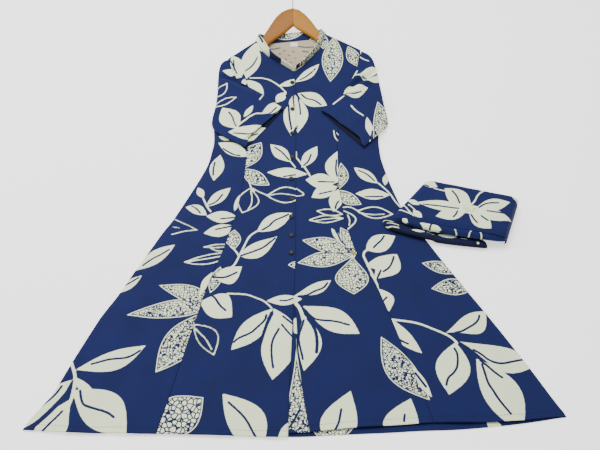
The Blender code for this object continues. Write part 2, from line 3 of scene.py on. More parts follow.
import bmesh
import bpy
import numpy as np
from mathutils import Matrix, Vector


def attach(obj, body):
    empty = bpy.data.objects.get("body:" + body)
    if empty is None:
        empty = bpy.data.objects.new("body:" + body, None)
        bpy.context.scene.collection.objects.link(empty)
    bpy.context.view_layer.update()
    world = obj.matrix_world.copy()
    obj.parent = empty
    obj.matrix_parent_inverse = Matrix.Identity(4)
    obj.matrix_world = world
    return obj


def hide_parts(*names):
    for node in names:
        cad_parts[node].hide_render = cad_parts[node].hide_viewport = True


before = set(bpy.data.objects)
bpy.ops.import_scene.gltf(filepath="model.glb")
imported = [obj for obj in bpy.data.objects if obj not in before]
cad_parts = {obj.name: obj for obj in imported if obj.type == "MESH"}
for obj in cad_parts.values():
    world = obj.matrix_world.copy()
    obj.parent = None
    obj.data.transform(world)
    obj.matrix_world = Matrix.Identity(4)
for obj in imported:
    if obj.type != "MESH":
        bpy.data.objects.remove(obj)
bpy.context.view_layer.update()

# The set lies on a plain pale floor and is seen from its hem, 54 degrees above the
# floor, under soft studio light from overhead near the collar end and from the left.
floor_mesh = bmesh.new()
bmesh.ops.create_grid(floor_mesh, x_segments=8, y_segments=8, size=6.0)
bmesh.ops.translate(floor_mesh, verts=floor_mesh.verts, vec=(0.0, 0.0, -0.0006))
floor_data = bpy.data.meshes.new("pale_floor")
floor_mesh.to_mesh(floor_data)
floor_mesh.free()
floor = bpy.data.objects.new("pale_floor", floor_data)
bpy.context.scene.collection.objects.link(floor)


def linear(code):
    """sRGB hex colour as linear red, green, blue and 1."""
    parts = [int(code[at:at + 2], 16) / 255.0 for at in (1, 3, 5)]
    return tuple(p / 12.92 if p <= 0.04045 else ((p + 0.055) / 1.055) ** 2.4
                 for p in parts) + (1.0,)


def plug(tree, node, sockets):
    """Link a node's inputs, or set their plain values."""
    for key, value in sockets.items():
        if isinstance(value, bpy.types.NodeSocket):
            tree.links.new(value, node.inputs[key])
        else:
            node.inputs[key].default_value = value


def add(tree, kind, sockets=None, **settings):
    """Add one node, with its settings, its plain values and its links."""
    node = tree.nodes.new("ShaderNode" + kind)
    for key, value in settings.items():
        setattr(node, key, value)
    plug(tree, node, sockets or {})
    return node


def blend(tree, part, first, second):
    """Mix two colours, each a link or an sRGB hex code."""
    first, second = [linear(one) if isinstance(one, str) else one for one in (first, second)]
    return add(tree, "Mix", {0: part, 6: first, 7: second}, data_type="RGBA").outputs[2]


def ramp(tree, value, low=0.0, high=1.0, at_low=0.0, at_high=1.0):
    """Carry a value from one range over to another."""
    return add(tree, "MapRange", {0: value, 1: low, 2: high, 3: at_low, 4: at_high}).outputs[0]


def calc(tree, operation, *values):
    return add(tree, "Math", dict(enumerate(values)), operation=operation).outputs[0]


def noise(tree, place, scale, **more):
    return add(tree, "TexNoise", {"Vector": place, "Scale": scale, **more}).outputs["Fac"]


def waves(tree, place, scale, way, distortion=0.0):
    return add(tree, "TexWave", {"Vector": place, "Scale": scale, "Distortion": distortion},
               bands_direction=way).outputs["Fac"]


def bump(tree, height, strength, distance):
    return add(tree, "Bump", {"Height": height, "Strength": strength,
                              "Distance": distance}).outputs["Normal"]


def material(name):
    """A new material, its node tree and its object coordinates."""
    made = bpy.data.materials.new(name)
    made.use_nodes = True
    return made, made.node_tree, add(made.node_tree, "TexCoord").outputs["Object"]


def look(tree, sockets):
    """Give a material's own shader its colour, roughness and the like."""
    plug(tree, tree.nodes["Principled BSDF"], sockets)


# Floor: matt white paper, with a faint unevenness so that it isn't a flat colour
paper, tree, place = material("matt_white_paper")
look(tree, {"Base Color": blend(tree, noise(tree, place, 1.5), "#f4f4f4", "#fafafa"),
            "Roughness": 0.9, "Emission Color": linear("#ffffff"), "Emission Strength": 1.0})
floor_data.materials.append(paper)

for name, spot, size, power in (("overhead_light", (-0.3, 0.7, 2.5), 2.0, 84.0),
                                ("left_light", (-2.2, 0.3, 1.5), 1.4, 26.0)):
    light = bpy.data.lights.new(name, "AREA")
    light.shape = "DISK"
    light.size = size
    light.energy = power
    lamp = bpy.data.objects.new(name, light)
    lamp.location = spot
    aim = Vector((0.0, -0.1, 0.0)) - Vector(spot)
    lamp.rotation_euler = aim.to_track_quat("-Z", "Y").to_euler()
    bpy.context.scene.collection.objects.link(lamp)
room = bpy.data.worlds.new("pale_room")
room.use_nodes = True
room.node_tree.nodes["Background"].inputs["Color"].default_value = linear("#ffffff")
room.node_tree.nodes["Background"].inputs["Strength"].default_value = 0.6
bpy.context.scene.world = room

lens = bpy.data.cameras.new("camera")
lens.lens = 57.0
lens.sensor_width = 36.0
camera = bpy.data.objects.new("camera", lens)
camera.location = (0.009, -1.442, 1.788)
camera.rotation_euler = (math.radians(36.0), 0.0, 0.0)
bpy.context.scene.collection.objects.link(camera)
bpy.context.scene.camera = camera

# Back panel: one piece of printed navy cotton from the hem to the back neck. It
# lies flat on the floor and rises at the shoulders, where the hanger lifts it.
# All garment sizes are in centimetres.
CM = 0.01
# The lowest cloth's top above the floor, and the air left between two pieces
CLOTH = 0.12
GAP = 0.035
SEAM = GAP / 2.0
HEM_Y = -66.3
# Height over which a panel's rows bend into the curve of its hem
HEM_EASE = 10.0
UNDERARM_Y = 18.5
# Fall of each shoulder seam, and how far its cloth rounds over
LEFT_SLOPE = 0.72
RIGHT_SLOPE = 0.5
SHOULDER_ROUND = 1.1
# Side seams and armholes: y, x
LEFT_SIDE = ((-65.3, -55.0), (-63.1, -53.8), (-57.6, -49.9), (-50.0, -46.9),
             (-39.0, -42.2), (-33.9, -39.2), (-25.5, -35.2), (-16.9, -30.9),
             (-13.4, -28.8), (-5.8, -25.3), (-0.9, -23.2), (3.8, -21.3),
             (10.2, -20.3), (18.5, -20.9))
RIGHT_SIDE = ((-62.4, 55.1), (-60.9, 54.1), (-56.4, 51.6), (-51.8, 49.1),
              (-42.7, 43.9), (-36.0, 39.9), (-32.1, 37.5), (-24.1, 32.7),
              (-20.2, 30.5), (-12.8, 26.3), (-9.0, 24.5), (-2.4, 22.4),
              (5.4, 20.6), (10.2, 20.3), (18.5, 20.8))
LEFT_ARMHOLE = ((18.5, -20.9), (20.0, -19.0), (22.0, -17.4), (24.0, -16.2),
                (26.0, -15.4), (28.0, -15.1), (30.0, -15.3), (33.3, -16.6),
                (37.8, -18.0))
RIGHT_ARMHOLE = ((18.5, 20.8), (20.0, 19.2), (22.0, 17.4), (24.0, 16.0),
                 (26.0, 15.2), (28.0, 14.7), (30.6, 14.6), (35.1, 15.9),
                 (40.5, 16.8))
# Lower edge: x, y
BACK_HEM = ((-55.0, -65.2), (-27.9, -66.0), (-9.1, -66.6), (0.9, -66.8),
            (11.9, -66.2), (19.0, -65.9), (25.0, -65.5), (32.1, -65.3),
            (39.2, -64.7), (45.3, -64.0), (49.4, -63.4), (55.1, -62.4))
# Shoulders: row, left x, y, right x, y
BACK_TOP_ROWS = ((37.0, -17.8, 37.0, 16.2, 37.0), (37.8, -18.0, 37.8, 17.0, 39.3),
                 (39.4, -15.8, 39.4, 16.8, 40.5), (40.8, -13.8, 40.8, 13.0, 42.4),
                 (42.1, -12.0, 42.1, 10.0, 43.9), (43.0, -10.8, 43.0, 7.6, 45.1))


def along(table, key, column=1, reach=0.0):
    """One column of a table at a key, eased over a reach where rows meet."""
    rows = np.array(sorted(table), float)
    key = np.asarray(key, float)
    shifts = (-reach, -reach / 2.0, 0.0, reach / 2.0, reach) if reach else (0.0,)
    return sum(np.interp(key + shift, rows[:, 0], rows[:, column])
               for shift in shifts) / len(shifts)


def mix(low, high, part):
    return low + (high - low) * part


def soft(part):
    """Eased step from 0 to 1."""
    part = np.clip(part, 0.0, 1.0)
    return part * part * (3.0 - 2.0 * part)


def side_edge(side, armhole, y):
    """Edge of the body, from the hem up the side seam and round the armhole."""
    return np.where(y < UNDERARM_Y, along(side, y, reach=1.2), along(armhole, y, reach=0.5))


def hem_fade(row_y):
    """1 at the hem, falling to nothing above it."""
    return 1.0 - np.clip((row_y - HEM_Y) / HEM_EASE, 0.0, 1.0)


def shoulder_depth(x, y):
    """Distance from the shoulder seam down into the body."""
    left = (37.8 + (x + 18.0) * LEFT_SLOPE - y) / math.hypot(1.0, LEFT_SLOPE)
    right = (45.1 - (x - 7.6) * RIGHT_SLOPE - y) / math.hypot(1.0, RIGHT_SLOPE)
    return np.where(x < -1.0, left, right)


def hanger_level(y):
    """Height of the hanger's middle, which rises towards the hook."""
    return 1.25 + 0.25 * (y - 33.0)


def round_shoulder(x, y, level, edge, left_neck, right_neck):
    """Curve a face over to its edge's level along the shoulder seams."""
    depth = shoulder_depth(x, y)
    turn = 1.0 - np.clip(depth, 0.0, SHOULDER_ROUND) / SHOULDER_ROUND
    reach = 1.0 - np.sqrt(1.0 - turn * turn)
    near = (depth < SHOULDER_ROUND) & (y > 34.0) & ((x < left_neck) | (x > right_neck))
    return np.where(near, mix(level, edge, reach), level)


def creases(x, y, size=1.0):
    """Handling creases of washed cotton: long soft ones and a few short ones."""
    long = np.sin(x * 0.62 + 0.21 * y + 1.3 * np.sin(y * 0.11 + 0.4))
    slant = np.sin(0.35 * x - 0.52 * y + 1.1 * np.sin(x * 0.23 + y * 0.07))
    short = np.sin(1.9 * x + 0.8 * y + 2.0 * np.sin(y * 0.31)) * np.sin(0.33 * x - 0.27 * y)
    return size * (0.022 * long + 0.018 * slant + 0.012 * short)


def back_top(x, y):
    """Upper face of the back panel."""
    rise = y - 32.2
    level = CLOTH + np.where(rise < 0, 0.0, 0.25 * rise * soft(0.35 + rise / 6.0))
    return round_shoulder(x, y, level, hanger_level(y) - GAP, -9.5, 6.0)


def woven(name, columns, rows):
    """A flat grid of cloth, and each point's share across and up it."""
    cloth = bmesh.new()
    bmesh.ops.create_grid(cloth, x_segments=columns, y_segments=rows, size=0.5)
    data = bpy.data.meshes.new(name)
    cloth.to_mesh(data)
    cloth.free()
    spots = np.zeros(len(data.vertices) * 3)
    data.vertices.foreach_get("co", spots)
    spots = spots.reshape(-1, 3)
    return data, np.clip(spots[:, 0] + 0.5, 0, 1), np.clip(spots[:, 1] + 0.5, 0, 1)


def lay(data, x, y, z):
    """Move a grid's points to their places, given in centimetres."""
    spots = np.stack([x, y, z], axis=1) * CM
    data.vertices.foreach_set("co", spots.astype(np.float32).ravel())
    data.update()


def piece(data, stuff, nodes, wall=0.0, offset=-1.0):
    """Make the finished object, give its cloth a wall, and tie it to the frame."""
    for face in data.polygons:
        face.use_smooth = True
    made = bpy.data.objects.new(data.name, data)
    bpy.context.scene.collection.objects.link(made)
    data.materials.append(stuff)
    if wall:
        shell = made.modifiers.new("wall", "SOLIDIFY")
        shell.thickness = wall * CM
        shell.offset = offset
        shell.use_even_offset = False
    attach(made, "root")
    if nodes:
        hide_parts(*nodes)
    return made


# Cambric: fine plain-woven cotton, matt, with a faint bloom at grazing light. The
# ground is dyed navy, and leaves are printed in an off-white that sinks into the
# cloth. Each point carries its distance, in millimetres, inside the printed shapes.
cotton, tree, place = material("printed_navy_cambric")
inked = {key: add(tree, "Attribute", attribute_name=key).outputs["Fac"]
         for key in ("pale", "net", "coarse", "vein", "gold", "deep", "stitch", "wrong")}
# Print edges wander by about half a millimetre, as screen printing does
wander = ramp(tree, noise(tree, place, 160.0, Detail=2.0), at_low=-0.7, at_high=0.7)
pale = ramp(tree, calc(tree, "ADD", inked["pale"], wander), -0.6, 0.6)
vein = ramp(tree, calc(tree, "ADD", inked["vein"], wander), -1.2, -0.2, 1.0, 0.0)
plain = calc(tree, "MULTIPLY", pale, vein)
# Netted petals: pale pebbles 6 to 7 mm across, and 10 mm in the large ones at the hem,
# with dark lines between them that come and go
small, large = [add(tree, "TexVoronoi", {"Vector": place, "Scale": scale, "Randomness": loose},
                    feature="DISTANCE_TO_EDGE").outputs["Distance"]
                for scale, loose in ((150.0, 0.8), (100.0, 0.9))]
broken = ramp(tree, noise(tree, place, 230.0, Detail=1.0), 0.35, 0.65, -0.04, 0.09)
small = ramp(tree, calc(tree, "ADD", small, broken), 0.1, 0.16)
large = ramp(tree, large, 0.09, 0.15)
pebble = add(tree, "Mix", {0: inked["coarse"], 2: small, 3: large}).outputs[0]
# Each netted petal has a pale rim 2 mm wide, and a dark line of 1 to 2 mm inside it
rim = ramp(tree, inked["net"], 1.8, 2.6, 1.0, 0.0)
pebble = calc(tree, "MULTIPLY", pebble, ramp(tree, inked["net"], 3.6, 4.4))
filled = calc(tree, "MAXIMUM", rim, pebble)
netted = calc(tree, "MULTIPLY", ramp(tree, inked["net"], -0.6, 0.6), filled)
printed = calc(tree, "MAXIMUM", plain, calc(tree, "MULTIPLY", netted, vein))
# Navy and off-white each vary a little, over 5 to 10 cm, with dye and wear
patchy = noise(tree, place, 14.0, Detail=3.0)
navy = blend(tree, patchy, "#0b1641", "#0f1c55")
white = blend(tree, patchy, "#ecfada", "#f2f7c8")
# Painted shade: the packet's lowest fold and the insides of the cuffs, where shade falls, are
# darkened towards blue-black
navy = blend(tree, inked["deep"], navy, "#05071a")
colour = blend(tree, printed, navy, white)
# Ochre stamens at the flower centres
colour = blend(tree, ramp(tree, inked["gold"], -0.5, 0.5), colour, "#9a8f3a")
# The wrong side, seen inside the neck: the print shows through as beige with grey lines
behind = blend(tree, vein, "#5d5b60", "#b5a78d")
colour = blend(tree, inked["wrong"], colour, behind)
# Rows of stitching: thread dashes 3 mm long, drawn a millimetre wide so they show. Their dark navy
# is partly the thread's own and partly painted shade of the dent the stitches press in
sewn = calc(tree, "MULTIPLY",
            ramp(tree, calc(tree, "ABSOLUTE", inked["stitch"]), 0.5, 1.1, 1.0, 0.0),
            add(tree, "TexChecker", {"Vector": place, "Scale": 330.0}).outputs["Fac"])
colour = blend(tree, calc(tree, "MULTIPLY", sewn, 0.7), colour, "#060a20")
# Plain weave: threads lie 0.4 mm apart, drawn 1.2 mm apart so that they show
warp, weft = [waves(tree, place, 262.0, way, 0.6) for way in "XY"]
weave = calc(tree, "SUBTRACT", calc(tree, "ADD", warp, weft), sewn)
look(tree, {"Base Color": colour, "Normal": bump(tree, weave, 0.25, 0.0003),
            "Roughness": ramp(tree, printed, at_low=0.82, at_high=0.9),
            "Sheen Weight": 0.03, "Sheen Roughness": 0.6, "Specular IOR Level": 0.2})


def leaf(base_x, base_y, tip_x, tip_y, left, right, belly=0.5):
    """Outline of a leaf: its widths left and right of the way from base to tip."""
    base = np.array((base_x, base_y), float)
    way = np.array((tip_x, tip_y), float) - base
    side = np.array((-way[1], way[0])) / np.hypot(*way)
    step = np.linspace(0.0, 1.0, 15)
    bulge = np.sin(np.pi * step ** (math.log(0.5) / math.log(belly)))
    spine = base + np.outer(step, way)
    return np.concatenate([spine + np.outer(bulge * left, side),
                           (spine - np.outer(bulge * right, side))[-2:0:-1]])


def eased(line):
    """Round the corners of a stroke, and keep its two ends."""
    for _ in range(2):
        near = line[:-1] * 0.75 + line[1:] * 0.25
        far = line[:-1] * 0.25 + line[1:] * 0.75
        inner = np.stack([near, far], axis=1).reshape(-1, 2)
        line = np.concatenate([line[:1], inner, line[-1:]])
    return line


def line_distance(spots, line, closed=False):
    """Distance of each spot from a line through points."""
    ends = np.roll(line, -1, axis=0) if closed else line[1:]
    nearest = np.full(len(spots), 1e9)
    for start, end in zip(line, ends):
        way = end - start
        share = np.clip((spots - start) @ way / max(way @ way, 1e-9), 0.0, 1.0)
        away = np.hypot(*(spots - start - share[:, None] * way).T)
        nearest = np.minimum(nearest, away)
    return nearest


def inside_distance(spots, outline):
    """Distance inside a closed outline, less than nothing outside it."""
    inside = np.zeros(len(spots), bool)
    for (x0, y0), (x1, y1) in zip(outline, np.roll(outline, -1, axis=0)):
        crosses = (y0 > spots[:, 1]) != (y1 > spots[:, 1])
        at = x0 + (spots[:, 1] - y0) * (x1 - x0) / (y1 - y0 if y1 != y0 else 1e-9)
        inside ^= crosses & (spots[:, 0] < at)
    away = line_distance(spots, outline, closed=True)
    return np.where(inside, away, -away)


# What a point far outside every shape holds, in millimetres, and the margin measured
# round a shape, in centimetres
OUTSIDE = -8.0
AROUND = 0.9


def paint(data, x, y, leaves=(), nets=(), coarse=(), rings=(), strokes=(), veins=(),
          gold=(), deep=0.0, stitch=None, wrong=None):
    """Write the print on a piece: each point's millimetres inside every shape."""
    spots = np.stack([x, y], axis=1)
    ink = {key: np.full(len(x), OUTSIDE) for key in ("pale", "net", "vein", "gold")}
    ink["coarse"] = np.zeros(len(x))
    # deep holds painted shade, from 0 to 1, which darkens the navy towards blue-black
    ink["deep"] = np.zeros(len(x)) + deep
    ink["stitch"] = np.full(len(x), 100.0) if stitch is None else stitch * 10.0
    ink["wrong"] = np.zeros(len(x)) if wrong is None else wrong

    def draw(key, line, measure):
        low = line.min(axis=0) - AROUND
        high = line.max(axis=0) + AROUND
        near = np.all((spots > low) & (spots < high), axis=1)
        if near.any():
            ink[key][near] = np.maximum(ink[key][near], measure(spots[near], line) * 10.0)

    for key, group in (("pale", leaves), ("net", nets), ("net", coarse)):
        for row in group:
            draw(key, leaf(*row), inside_distance)
    for row in coarse:
        near = inside_distance(spots, leaf(*row)) > -0.5
        ink["coarse"][near] = 1.0
    for width, *row in rings:
        draw("pale", leaf(*row), lambda some, line: width * 0.4 - line_distance(some, line, True))
    for key, group in (("pale", strokes), ("vein", veins), ("gold", gold)):
        for width, *row in group:
            line = eased(np.array(row, float).reshape(-1, 2))
            draw(key, line, lambda some, line: width * 0.42 - line_distance(some, line))
    for key, values in ink.items():
        layer = data.attributes.new(key, "FLOAT", "POINT")
        layer.data.foreach_set("value", np.maximum(values, OUTSIDE).astype(np.float32))


# Where the back hem meets the side seams, and where the shoulders begin
BACK_HEM_ENDS = (-65.2, -62.4)
SHOULDER_Y = 37.0
data, across, up = woven("kurti_back_panel", 150, 215)
# Its rows lie closest at the hem and inside the neck, the two places where it shows
row_y = np.interp(up, (0.0, 0.1, 0.6, 1.0), (HEM_Y, -61.5, 31.0, 43.0))
fade = hem_fade(row_y)
left_x = side_edge(LEFT_SIDE, LEFT_ARMHOLE, row_y + (BACK_HEM_ENDS[0] - HEM_Y) * fade)
right_x = side_edge(RIGHT_SIDE, RIGHT_ARMHOLE, row_y + (BACK_HEM_ENDS[1] - HEM_Y) * fade)
high = row_y > SHOULDER_Y
left_x = np.where(high, along(BACK_TOP_ROWS, row_y), left_x)
right_x = np.where(high, along(BACK_TOP_ROWS, row_y, 3), right_x)
left_y = np.where(high, along(BACK_TOP_ROWS, row_y, 2), row_y)
right_y = np.where(high, along(BACK_TOP_ROWS, row_y, 4), row_y)
x = mix(left_x, right_x, across)
y = mix(left_y, right_y, across)
y = y + (along(BACK_HEM, x, reach=2.0) - HEM_Y) * fade
lay(data, x, y, back_top(x, y))
# The beige wrong side is painted only inside the neck
paint(data, x, y, wrong=soft((y - 30.0) / 1.0) * soft(14.0 - np.abs(x)),
      nets=((2.4, -64.0, 12.0, -64.5, 3.0, 4.0, 0.5),),
      leaves=((38.5, -63.0, 41.8, -66.0, 1.2, 1.2, 0.5),),
      veins=((0.3, 0.6, 42.3, 3.2, 42.0, 6.2, 42.5), (0.3, 1.6, 40.9, 4.2, 40.5, 6.6, 40.9),
             (0.3, 2.2, 39.4, 4.0, 39.1, 5.2, 39.5), (0.3, -9.0, 41.9, -6.6, 41.4, -4.4, 41.9),
             (0.25, -4.6, 40.1, -4.3, 40.2), (0.25, -3.4, 41.0, -3.1, 41.1),
             (0.25, -2.2, 39.6, -1.9, 39.7), (0.25, -1.0, 40.8, -0.7, 40.7),
             (0.25, -3.0, 38.6, -2.7, 38.5), (0.25, -0.4, 38.9, -0.2, 38.8),
             (0.25, 0.9, 37.9, 1.1, 38.0), (0.25, -1.6, 37.6, -1.3, 37.6)))
back = piece(data, cotton, ["back_panel"], wall=0.11)

# Front panels: two centres and two sides of the same cotton, joined by long curved
# seams. The wearer's right centre laps over the left. The cloth mounds over the air
# inside, in soft folds that widen to the hem, and dips along each pressed seam.
# Seams, lap and neck: y, x
LEFT_SEAM = ((-66.3, -27.9), (-56.7, -25.5), (-44.7, -22.8), (-31.9, -19.7),
             (-20.9, -16.3), (-11.5, -14.0), (-1.6, -12.5), (8.2, -12.0),
             (16.0, -12.6), (22.0, -13.9), (26.0, -15.4))
RIGHT_SEAM = ((-63.6, 28.0), (-56.2, 25.7), (-47.1, 22.9), (-39.2, 20.5),
              (-30.8, 17.7), (-21.9, 13.4), (-15.1, 11.6), (-3.1, 10.1),
              (7.3, 10.1), (14.7, 10.7), (21.0, 12.6), (26.0, 15.2))
LAP_EDGE = ((-67.0, -1.5), (-54.5, -1.2), (-45.6, -0.9), (-35.1, -0.4),
            (-21.8, -0.1), (4.8, -0.1), (21.3, -0.1), (27.2, -0.3), (33.3, -0.7))
UNDER_SEAM = ((-66.1, 2.9), (-58.9, 1.7), (-52.1, 0.9), (-45.5, 0.4), (-40.1, 0.2),
              (-34.0, -0.8), (-22.0, -1.1), (20.0, -1.1), (33.3, -1.6))
LEFT_NECK = ((33.2, -0.7), (34.8, -3.0), (36.7, -5.6), (38.2, -8.0),
             (40.3, -9.6), (43.0, -10.8))
RIGHT_NECK = ((33.2, -0.7), (35.1, 1.7), (37.6, 4.0), (40.0, 5.9),
              (42.4, 7.0), (45.1, 7.6))
# Lower edges: x, y
FRONT_HEM = ((-55.0, -65.3), (-47.2, -66.0), (-39.1, -66.2), (-27.9, -66.3),
             (-19.1, -66.5), (-9.1, -66.9), (-1.5, -67.1))
FRONT_HEM_LEFT = ((-1.9, -66.2), (2.9, -65.9), (9.9, -65.1), (21.0, -64.4),
                  (28.0, -63.8), (35.2, -63.9), (45.3, -63.5), (50.5, -62.8),
                  (55.1, -62.4))
EDGE_HEIGHT = 0.29
HEM_STITCH = 1.3
WAIST_Y = 4.0
SKIRT_LENGTH = 70.0
# The front's crown: y, height in the middle, half width
CROWN = ((-67.0, 0.55, 56.5), (-56.0, 0.62, 51.5), (-37.0, 0.7, 42.2),
         (-20.0, 0.85, 31.8), (-7.0, 0.95, 24.6), (3.0, 1.15, 21.7),
         (13.0, 1.35, 21.0), (18.5, 1.5, 21.6), (24.0, 1.7, 22.6),
         (33.0, 2.35, 23.5), (38.0, 3.35, 24.5), (46.0, 5.2, 24.5))
# Soft folds of the skirt: x at the hem, x at the waist, width, height
SKIRT_FOLDS = ((-46.0, -18.5, 2.6, 0.26), (-35.0, -15.0, 2.2, 0.2),
               (-15.0, -7.5, 2.4, 0.16), (14.0, 6.0, 2.4, 0.18),
               (34.0, 15.5, 2.2, 0.22), (45.0, 18.5, 2.6, 0.26))


def mound(x, y):
    """Smooth top of the front, with its skirt folds."""
    crown = along(CROWN, y, 1, reach=2.0)
    half = along(CROWN, y, 2, reach=2.0)
    reach = np.minimum(1.0, np.abs(x) / half)
    level = EDGE_HEIGHT + (crown - EDGE_HEIGHT) * np.sqrt(1.0 - reach ** 4)
    skirt = soft((WAIST_Y - y) / 60.0)
    down = (WAIST_Y - y) / SKIRT_LENGTH
    for hem_x, waist_x, width, height in SKIRT_FOLDS:
        middle = mix(waist_x, hem_x, down)
        spread = width * mix(0.6, 1.4, skirt)
        level = level + height * skirt * np.exp(-((x - middle) / spread) ** 2)
    return level


def arm_ridge(x, y):
    """Lift where the cloth passes over a hanger arm."""
    reach = soft((19.0 - np.abs(x)) / 4.0)
    lift = np.where(x < 0, 0.09, 0.21) * reach
    ridge = lift * np.exp(-((shoulder_depth(x, y) - 2.0) / 1.9) ** 2)
    return np.where(y < 31.0, 0.0, ridge)


def front_top(x, y):
    """Upper face of the front, before its fine creases."""
    level = mound(x, y) + arm_ridge(x, y)
    return round_shoulder(x, y, level, hanger_level(y) + CLOTH, -10.0, 6.5)


def lap_top(x, y):
    """The top lap rides over the button band below it."""
    away = along(LAP_EDGE, y) - x
    return front_top(x, y) + (CLOTH + GAP) * (1.0 - soft((away - 3.2) / 2.5))


def sewn_edges(x, left_x, right_x, level):
    """Dip of the cloth beside the seams at its two edges."""
    near = np.minimum(np.abs(x - left_x), np.abs(right_x - x))
    return level - 0.06 * np.exp(-(near / 0.28) ** 2)


def front_panel(name, size, left, right, ends, top_y, hem, level, ink, node):
    """Lay a front panel between two edge lines, from its curved hem to its top."""
    data, across, up = woven(name, *size)
    row_y = mix(HEM_Y, top_y, up)
    fade = hem_fade(row_y)
    left_x = left(row_y + (ends[0] - HEM_Y) * fade)
    right_x = right(row_y + (ends[1] - HEM_Y) * fade)
    x = mix(left_x, right_x, across)
    y = row_y + (along(hem, x, reach=2.0) - HEM_Y) * fade
    quiet = np.where(y > WAIST_Y, 0.45, 1.0)
    z = sewn_edges(x, left_x, right_x, level(x, y) + creases(x, y, quiet))
    lay(data, x, y, z)
    paint(data, x, y, stitch=y - along(hem, x, reach=2.0) - HEM_STITCH, **ink)
    made = piece(data, cotton, [node], wall=0.1)


# The print's rows: leaves, netted petals and rings as base x, y, tip x, y, width left
# and right of that way, and belly; stems and dark midribs as width and points.
# Rows that run over the lap's edge or over a seam are printed on both its panels.
LAP_LEAVES = ((0.3, 26, 7.8, 22, 2.3, 2.3), (-1, 25, -1.3, 12, 1.4, 2.1),
              (-0.4, 25.5, 0.3, 13, 3, 0.8), (2.8, 0, -7.1, 0.6, 1.5, 1.6),
              (-6.5, -35.3, 1.5, -34.8, 1.1, 1.5))
LAP_VEINS = ((0.4, 1.2, 25.8, 2.5, 24.2, 4.5, 23.9, 6.2, 22.3), (0.3, 0.2, 15.3, 0.1, 14.3),
             (0.3, 0.4, 24.6, 0.9, 21.5, 1, 19))
SEAM_NETS = ((12.8, -23.5, 12.8, -33.7, 3.4, 4.1, 0.6), (18.2, -44.2, 27.5, -59, 1.9, 4.2))


